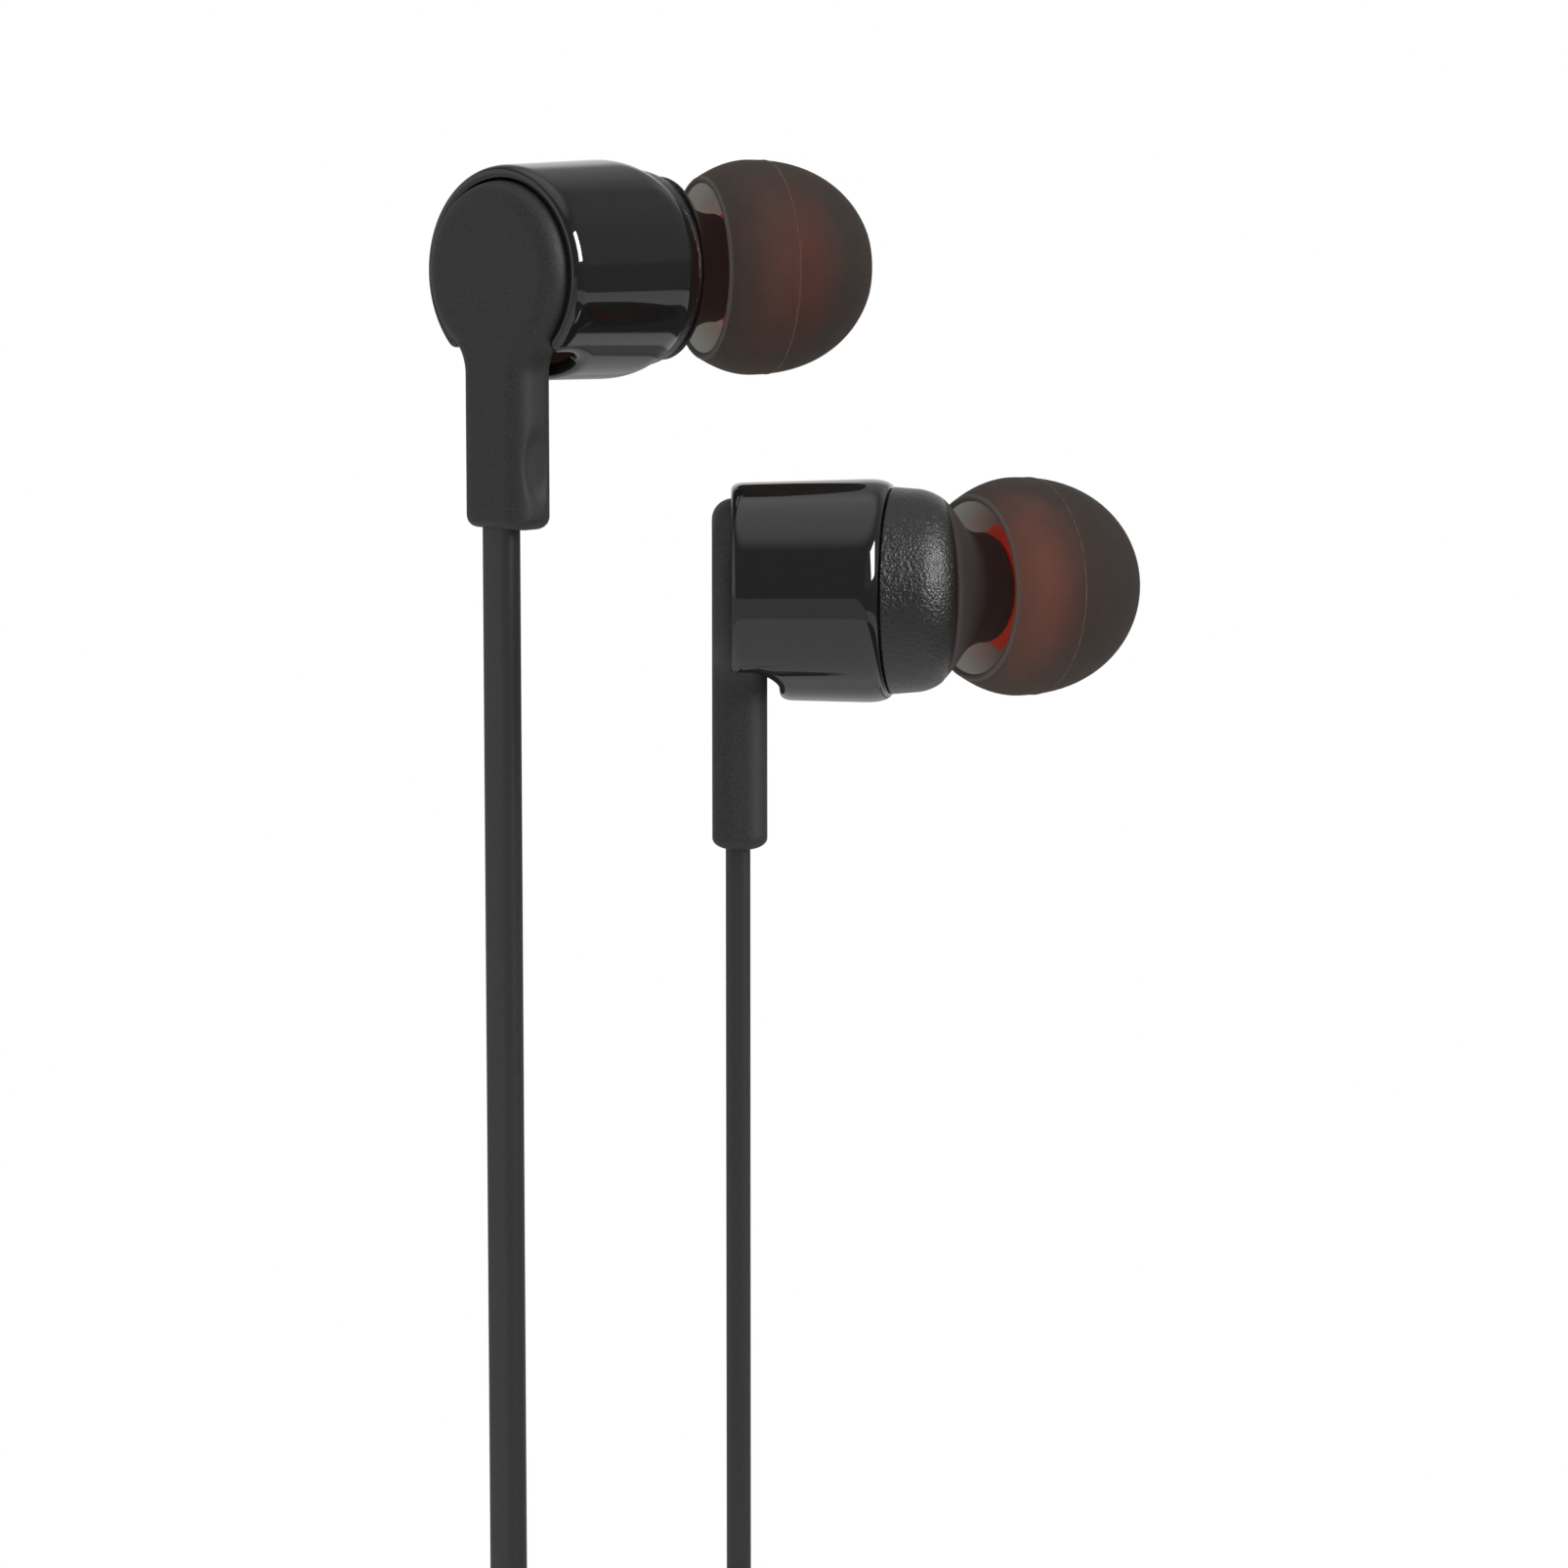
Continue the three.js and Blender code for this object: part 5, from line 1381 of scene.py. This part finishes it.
def make_remote():
    spot = HELD["right"] @ Vector((CORD_X, -CORD_OFFSET, 0))
    place = Matrix.Translation((spot.x, spot.y, REMOTE_MIDDLE))
    half = REMOTE_HEIGHT / 2
    made = [nodes[name] for name in ("remote_board", "remote_dome_switch", "remote_microphone")]
    outline = block_outline(REMOTE_WIDTH, REMOTE_DEPTH, REMOTE_CORNER)
    for name, slot in (("front", "shell_gloss"), ("rear", "cap_matte")):
        block = soft_block(outline, -half, half, REMOTE_ROUND)
        cover = piece(f"remote_{name}_cover", block, place, slot, [f"remote_{name}_shell"])
        for cutter in remote_half(name == "front"):
            carve(cover, cutter, place)
        made.append(cover)
    made.append(piece("remote_key", volume_button(), place, "cap_matte", ["remote_button"],
                      "remote_button"))
    for name, way in (("top", 1), ("bottom", -1)):
        end = (place @ Matrix.Translation((0, 0, way * (half + SEAM_GAP)))
               @ Matrix.Rotation(-way * math.pi / 2, 4, "Y"))
        relief = ribbed_relief(RELIEF_LENGTH, RELIEF_ROOT, RELIEF_END, RELIEF_RIBS)
        made.append(piece(f"remote_{name}_ribbed_relief", relief, end, "relief_rubber",
                          [f"remote_relief_{name}"]))
    return made


# ---------------------------------------------------------------- splitter and tie

SPLITTER_WIDTH = 7.8
SPLITTER_DEPTH = 4.2
SPLITTER_ROUND = 0.8
SPLITTER_GROOVE = ((0, -0.14), (0.07, -0.08), (0.1, 0), (0.07, 0.08), (0, 0.14))  # (depth, height)
TIE_WALL = 0.9
TIE_HEIGHT = 4.0
TIE_GAP = 0.35
TIE_CORNER = 1.8
TIE_EDGE = 0.3
TIE_RIBS = 4
TIE_RIB_DEPTH = 0.16
TIE_POINTS = 160


def split_block():
    """The splitter: a soft-edged block with a fine groove round its waist."""
    low = SPLITTER_TOP - SPLITTER_HEIGHT
    middle = (SPLITTER_TOP + low) / 2
    outline = block_outline(SPLITTER_DEPTH, SPLITTER_WIDTH, SPLITTER_DEPTH / 2, 10)
    groove = [(inset, middle + up) for inset, up in SPLITTER_GROOVE]
    return soft_block(outline, low, SPLITTER_TOP, SPLITTER_ROUND, steps=8, lip=0.125, waist=groove)


def tie_outline():
    """The band's inside round the hank's waist, drawn close to each layer of loops."""
    clear = CORD_THICKNESS / 2 + TIE_GAP - HANK_WAIST
    main_x = HANK_INNER + HANK_LOOP * HANK_LOOPS + clear
    main_y, leg_y = [column * HANK_COLUMN + CORD_WIDTH / 2 + TIE_GAP
                     for column in (MAIN_COLUMN, LEG_COLUMN)]
    right = [(LEFT_LEG_RADIUS + clear, -leg_y), (main_x, -main_y), (main_x, main_y),
             (RIGHT_LEG_RADIUS + clear, leg_y)]
    corners = [(x, y, TIE_CORNER) for x, y in right + [(-x, y) for x, y in reversed(right)]]
    return spread(rounded(corners, 10, closed=True), TIE_POINTS, closed=True)


def tie_band():
    """A soft band round the hank's waist, with low ribs round its outside."""
    inner = tie_outline()
    outward = [-(after - before).orthogonal().normalized()
               for before, after in zip(inner[-1:] + inner, inner[1:] + inner[:1])]
    reach = TIE_HEIGHT / 2 - TIE_EDGE
    upper = (arc(TIE_WALL - TIE_EDGE, reach, TIE_EDGE, 0, 90, 5)
             + arc(TIE_EDGE, reach, TIE_EDGE, 90, 180, 5))
    section = [(p.x, p.y) for p in upper] + [(p.x, -p.y) for p in reversed(upper)]
    steps = TIE_RIBS * 8
    for k in range(1, steps):
        wave = 0.5 - 0.5 * math.cos(2 * math.pi * TIE_RIBS * k / steps)
        section.append((TIE_WALL - TIE_RIB_DEPTH * wave, reach * (2 * k / steps - 1)))
    rings = [[Vector((*(point + out * off), z)) for point, out in zip(inner, outward)]
             for off, z in section]
    return loft(rings, joined=True)


def make_splitter():
    across = Matrix.Translation((HANK_CENTRE.x, HANK_CENTRE.y, 0))
    return piece("cord_splitter", split_block(), across, "relief_rubber", ["splitter_body"])


def make_tie():
    return piece("ribbed_tie", tie_band(), Matrix.Translation(HANK_CENTRE), "tie_silicone", ["hank_tie"])


# ---------------------------------------------------------------- plug

PLUG_RELIEF_LENGTH = 8.0
PLUG_RELIEF_END = 1.7
PLUG_RELIEF_ROOT = 2.45
PLUG_RELIEF_RIBS = 7
HANDLE_LENGTH = 13.0
HANDLE_RADIUS = 3.4
HANDLE_ROUND = 0.7
GRIP_START = 2.0
GRIP_PITCH = 1.1
GRIP_GROOVES = 3
GRIP_SHAPE = ((-0.28, 0), (-0.2, 0.12), (0, 0.2), (0.2, 0.12), (0.28, 0))  # (along, depth)
JACK_RADIUS = 1.75
JACK_EDGE = 0.06
JACK_CORE = 0.9
JACK_SOCKET = 4.0
JACK_SLEEVE = 5.6
JACK_RING = 1.9
JACK_TIP = 3.1
JACK_SPACER = 0.55
JACK_COLLAR_INSET = 0.1
JACK_TIP_WALL = 0.9
JACK_TIP_ROOT = 1.505
JACK_TIP_GROOVE = (0.5, 1.2, 0.3)  # (along, radius, rounding)
JACK_TIP_BULGE = (1.3, JACK_RADIUS, 0.35)
JACK_TIP_NOSE = (JACK_TIP - 0.4, 0.765, 0.3)
JACK_TIP_POINT = 0.25
JACK_BORE = JACK_CORE + SEAM_GAP


def plug_handle(start, end):
    """The plug's barrel, with grip grooves near its cord end."""
    edge = HANDLE_ROUND
    radius = HANDLE_RADIUS
    socket = end - JACK_SOCKET
    grooves = [(start + GRIP_START + GRIP_PITCH * k + off, radius - depth)
               for k in range(GRIP_GROOVES) for off, depth in GRIP_SHAPE]
    return turned([(start, 0)] + arc(start + edge, radius - edge, edge, 180, 90, 8) + grooves
                  + arc(end - edge, radius - edge, edge, 90, 0, 8)
                  + [(end, JACK_BORE), (socket, JACK_BORE), (socket, 0)], 96)


def jack_band(start, length):
    edge = JACK_EDGE
    end = start + length
    return turned([(start, JACK_BORE), (start, JACK_RADIUS - edge), (start + edge, JACK_RADIUS),
                   (end - edge, JACK_RADIUS), (end, JACK_RADIUS - edge), (end, JACK_BORE)], 72)


def jack_tip(start):
    """The contact at the plug's end, with the groove that a socket's spring drops into."""
    end = start + JACK_TIP
    wall = end - JACK_TIP_WALL
    shape = [(start + along, radius, corner)
             for along, radius, corner in (JACK_TIP_GROOVE, JACK_TIP_BULGE, JACK_TIP_NOSE)]
    outline = rounded([(start, JACK_TIP_ROOT)] + shape + [(end, JACK_TIP_POINT)], 6)
    return turned([(start, JACK_BORE)] + outline + [(end, 0), (wall, 0), (wall, JACK_BORE)], 72)


def jack_core(socket_floor, ends, tip_end):
    """The moulded core between the contacts, with a collar in each gap."""
    gap = SEAM_GAP
    collar = JACK_RADIUS - JACK_COLLAR_INSET
    profile = [(socket_floor + gap, 0), (socket_floor + gap, JACK_CORE)]
    for end in ends:
        start = end - JACK_SPACER
        profile += [(start + gap, JACK_CORE), (start + gap, collar), (end - gap, collar),
                    (end - gap, JACK_CORE)]
    last = tip_end - JACK_TIP_WALL - gap
    return turned(profile + [(last, JACK_CORE), (last, 0)], 48)


def make_plug(entry):
    place = Matrix.Translation((entry.x, entry.y, PLUG_TOP)) @ Matrix.Rotation(math.pi / 2, 4, "Y")
    from_handle = (place @ Matrix.Translation((PLUG_RELIEF_LENGTH, 0, 0))
                   @ Matrix.Rotation(math.pi, 4, "Z"))
    start = PLUG_RELIEF_LENGTH + SEAM_GAP
    end = start + HANDLE_LENGTH
    sleeve = end + SEAM_GAP
    ring_two = sleeve + JACK_SLEEVE + JACK_SPACER
    ring_one = ring_two + JACK_RING + JACK_SPACER
    tip = ring_one + JACK_RING + JACK_SPACER
    relief = ribbed_relief(PLUG_RELIEF_LENGTH, PLUG_RELIEF_ROOT, PLUG_RELIEF_END, PLUG_RELIEF_RIBS)
    core = jack_core(end - JACK_SOCKET, (ring_two, ring_one, tip), tip + JACK_TIP)
    plan = [
        ("plug_ribbed_relief", relief, from_handle, "relief_rubber", "plug_relief"),
        ("plug_barrel", plug_handle(start, end), place, "relief_rubber", "plug_handle"),
        ("sleeve_contact", jack_band(sleeve, JACK_SLEEVE), place, "contact_plating", "jack_sleeve"),
        ("second_ring_contact", jack_band(ring_two, JACK_RING), place, "contact_plating", "jack_ring_2"),
        ("first_ring_contact", jack_band(ring_one, JACK_RING), place, "contact_plating", "jack_ring_1"),
        ("tip_contact", jack_tip(tip), place, "contact_plating", "jack_tip"),
        ("contact_core", core, place, "insulator_plastic", "jack_insulator"),
    ]
    return [piece(name, bm, spot, slot, [node]) for name, bm, spot, slot, node in plan]


# ---------------------------------------------------------------- stage

FLOOR_DROP = 0.0003
FLOOR_RADIUS = 4.0
PAPER_LEVEL = 0.9
SHADOW_FADE = (0.12, 0.30)  # away from the pair, where the floor turns plain white to the camera
SHADOW_WHITE = 0.6  # how white it is already under the pair

# What the gloss mirrors of the floor. A pair of numbers is where a soft edge starts and ends, in metres
# from the pair, away from it, to the right or to the back.
TABLE_LEVEL = 0.95
TABLE_EDGE = (0.46, 0.475)
GAP_LEFT = (0.2, 0.218)
GAP_END = (0.45, 0.46)
GAP_SHADE = 0.9
STRIP_LEFT = (0.1, 0.11)
STRIP_RIGHT = (0.145, 0.155)
STRIP_FRONT = (0.12, 0.14)
STRIP_SHADE = 0.6
DIM_RIGHT = (0.11, 0.13)
DIM_FRONT = (0.03, 0.1)
DIM_SHADE = 0.3
PAST_LEVEL = 0.6
BESIDE_LEFT = (0.3, 0.34)
BESIDE_END = (0.78, 0.82)
BESIDE_LEVEL = 0.9
FAR_LEVEL = 0.22

# What lights the pair from far off. A pair of numbers is where a soft edge starts and ends, as the
# height, depth or side of a direction: 1 is straight up, back or right.
ROOM_LEVEL = 0.22
OVERHEAD = (0.72, 0.94)
OVERHEAD_LEVEL = 0.8
BACKDROP_DEPTH = (0.5, 0.7)
BACKDROP_LOW = (0.25, 0.4)
BACKDROP_LEVEL = 0.2
BACKDROP_MIDDLE = (0.86, 0.96)
BACKDROP_MIDDLE_LEVEL = 0.75
REFLECTOR_LEFT = (0.34, 0.42)
REFLECTOR_LOW = (0.06, 0.14)
REFLECTOR_TOP = (0.68, 0.76)
REFLECTOR_LEVEL = 0.13
LEFT_WALL = (-0.74, -0.94)
LEFT_WALL_LEVEL = 0.7

PAIR_MIDDLE = Vector((-0.004, -0.012, -0.009))
LIGHT_DISTANCE = 0.9
SOFT_BOX = {"turn": 59, "rise": 25, "wide": 23, "tall": 28}
SOFT_BOX_GLOSS = 27
SOFT_BOX_FILL = 1.2


def make_floor():
    """White paper that keeps the object's shadow near it, and is plain white to the camera further out.
    The gloss mirrors it as a pale table. On the right the table has a grey strip and then a dark gap, its
    left part is dimmer at the back, and the floor past its edge is grey, with a pale patch beside it."""
    bm = bmesh.new()
    bmesh.ops.create_circle(bm, cap_ends=True, segments=96, radius=FLOOR_RADIUS)
    floor = in_scene("floor", mesh_from("floor", bm))
    middle = (cad_box[0] + cad_box[1]) / 2
    floor.location = (middle.x, middle.y, cad_box[0].z - FLOOR_DROP)
    material, f = new_finish("floor_white")
    away = f.node("VectorMath", {"operation": "LENGTH"}, {0: f.place()}, "Value")
    right = f.along("X", f.place())
    back = f.along("Y", f.place())
    gap = f.ramp(right, *GAP_LEFT) * f.ramp(away, *GAP_END, 1.0, 0.0)
    strip = f.ramp(right, *STRIP_LEFT) * f.ramp(right, *STRIP_RIGHT, 1.0, 0.0)
    strip *= f.ramp(back, *STRIP_FRONT)
    dim = f.ramp(back, *DIM_FRONT) * f.ramp(right, *DIM_RIGHT, 1.0, 0.0)
    shade = (1 - gap * GAP_SHADE) * (1 - strip * STRIP_SHADE) * (1 - dim * DIM_SHADE)
    beside = f.ramp(right, *BESIDE_LEFT)
    past = (1 - beside) * PAST_LEVEL
    past += beside * f.ramp(away, *BESIDE_END, BESIDE_LEVEL, FAR_LEVEL)
    mirror_level = (f.ramp(away, *TABLE_EDGE) * (past - TABLE_LEVEL) + TABLE_LEVEL) * shade
    open_view = (f.ray("Camera") + f.ray("Transmission")).capped()
    level = open_view + (1 - open_view) * mirror_level
    white = f.node("Emission", {}, {"Color": grey(1.0), "Strength": level})
    paper = f.node("BsdfDiffuse", {}, {"Color": grey(PAPER_LEVEL)})
    share = (open_view * f.ramp(away, *SHADOW_FADE, SHADOW_WHITE, 1.0) + f.ray("Glossy")).capped()
    f.surface(f.node("MixShader", {}, {0: share, 1: paper, 2: white}))
    floor.data.materials.append(material)


def make_world():
    """White behind everything for the camera. Round the object, a studio: a dim room, a soft light
    overhead, the white backdrop behind, a grey reflector on the right and a pale wall far left."""
    world = bpy.data.worlds.new("studio")
    bpy.context.scene.world = world
    f = Finish(world)
    side, depth, height = [f.along(axis, f.node("TexCoord", {}, {}, "Generated")) for axis in "XYZ"]
    overhead = f.ramp(height, *OVERHEAD) * OVERHEAD_LEVEL
    backdrop = f.ramp(depth, *BACKDROP_DEPTH) * f.ramp(height, *BACKDROP_LOW) * BACKDROP_LEVEL
    backdrop_middle = f.ramp(depth, *BACKDROP_MIDDLE) * BACKDROP_MIDDLE_LEVEL
    reflector = f.ramp(side, *REFLECTOR_LEFT) * f.ramp(height, *REFLECTOR_LOW)
    reflector *= f.ramp(height, *REFLECTOR_TOP, REFLECTOR_LEVEL, 0.0)
    left_wall = f.ramp(side, *LEFT_WALL) * LEFT_WALL_LEVEL
    room = overhead + backdrop + backdrop_middle + reflector + left_wall + ROOM_LEVEL
    seen = f.ray("Camera")
    level = seen + (1 - seen) * room
    light = f.node("Background", {}, {"Color": grey(1.0), "Strength": level})
    f.node("OutputWorld", {}, {"Surface": light})


def lamp(name, radiance, turn, rise, wide, tall):
    """A soft box this bright, seen from the pair this many degrees right of the camera and above the
    horizon, and this many degrees wide and tall."""
    data = bpy.data.lights.new(name, "AREA")
    data.shape = "RECTANGLE"
    data.size = LIGHT_DISTANCE * math.radians(wide)
    data.size_y = LIGHT_DISTANCE * math.radians(tall)
    data.energy = radiance * math.pi * data.size * data.size_y
    turn = math.radians(turn)
    rise = math.radians(rise)
    way = Vector((math.sin(turn) * math.cos(rise), -math.cos(turn) * math.cos(rise), math.sin(rise)))
    made = in_scene(name, data)
    aim(made, PAIR_MIDDLE, way, LIGHT_DISTANCE)
    return made


def make_stage():
    """The soft box on the right shows in the gloss. A weaker one in its place lights the matte parts."""
    make_floor()
    make_world()
    lamp("side_box", SOFT_BOX_GLOSS, **SOFT_BOX).visible_diffuse = False
    lamp("side_fill", SOFT_BOX_FILL, **SOFT_BOX).visible_glossy = False


# ---------------------------------------------------------------- the whole

bpy.context.scene.view_settings.view_transform = "Standard"
make_camera()
routes = cord_routes()
make_cords(routes)
declare_cords(routes, make_remote(), make_splitter(), make_tie(), make_plug(routes["main"][-1]))
for side in SIDES:
    make_earpiece(side)
dress_frame()
make_stage()
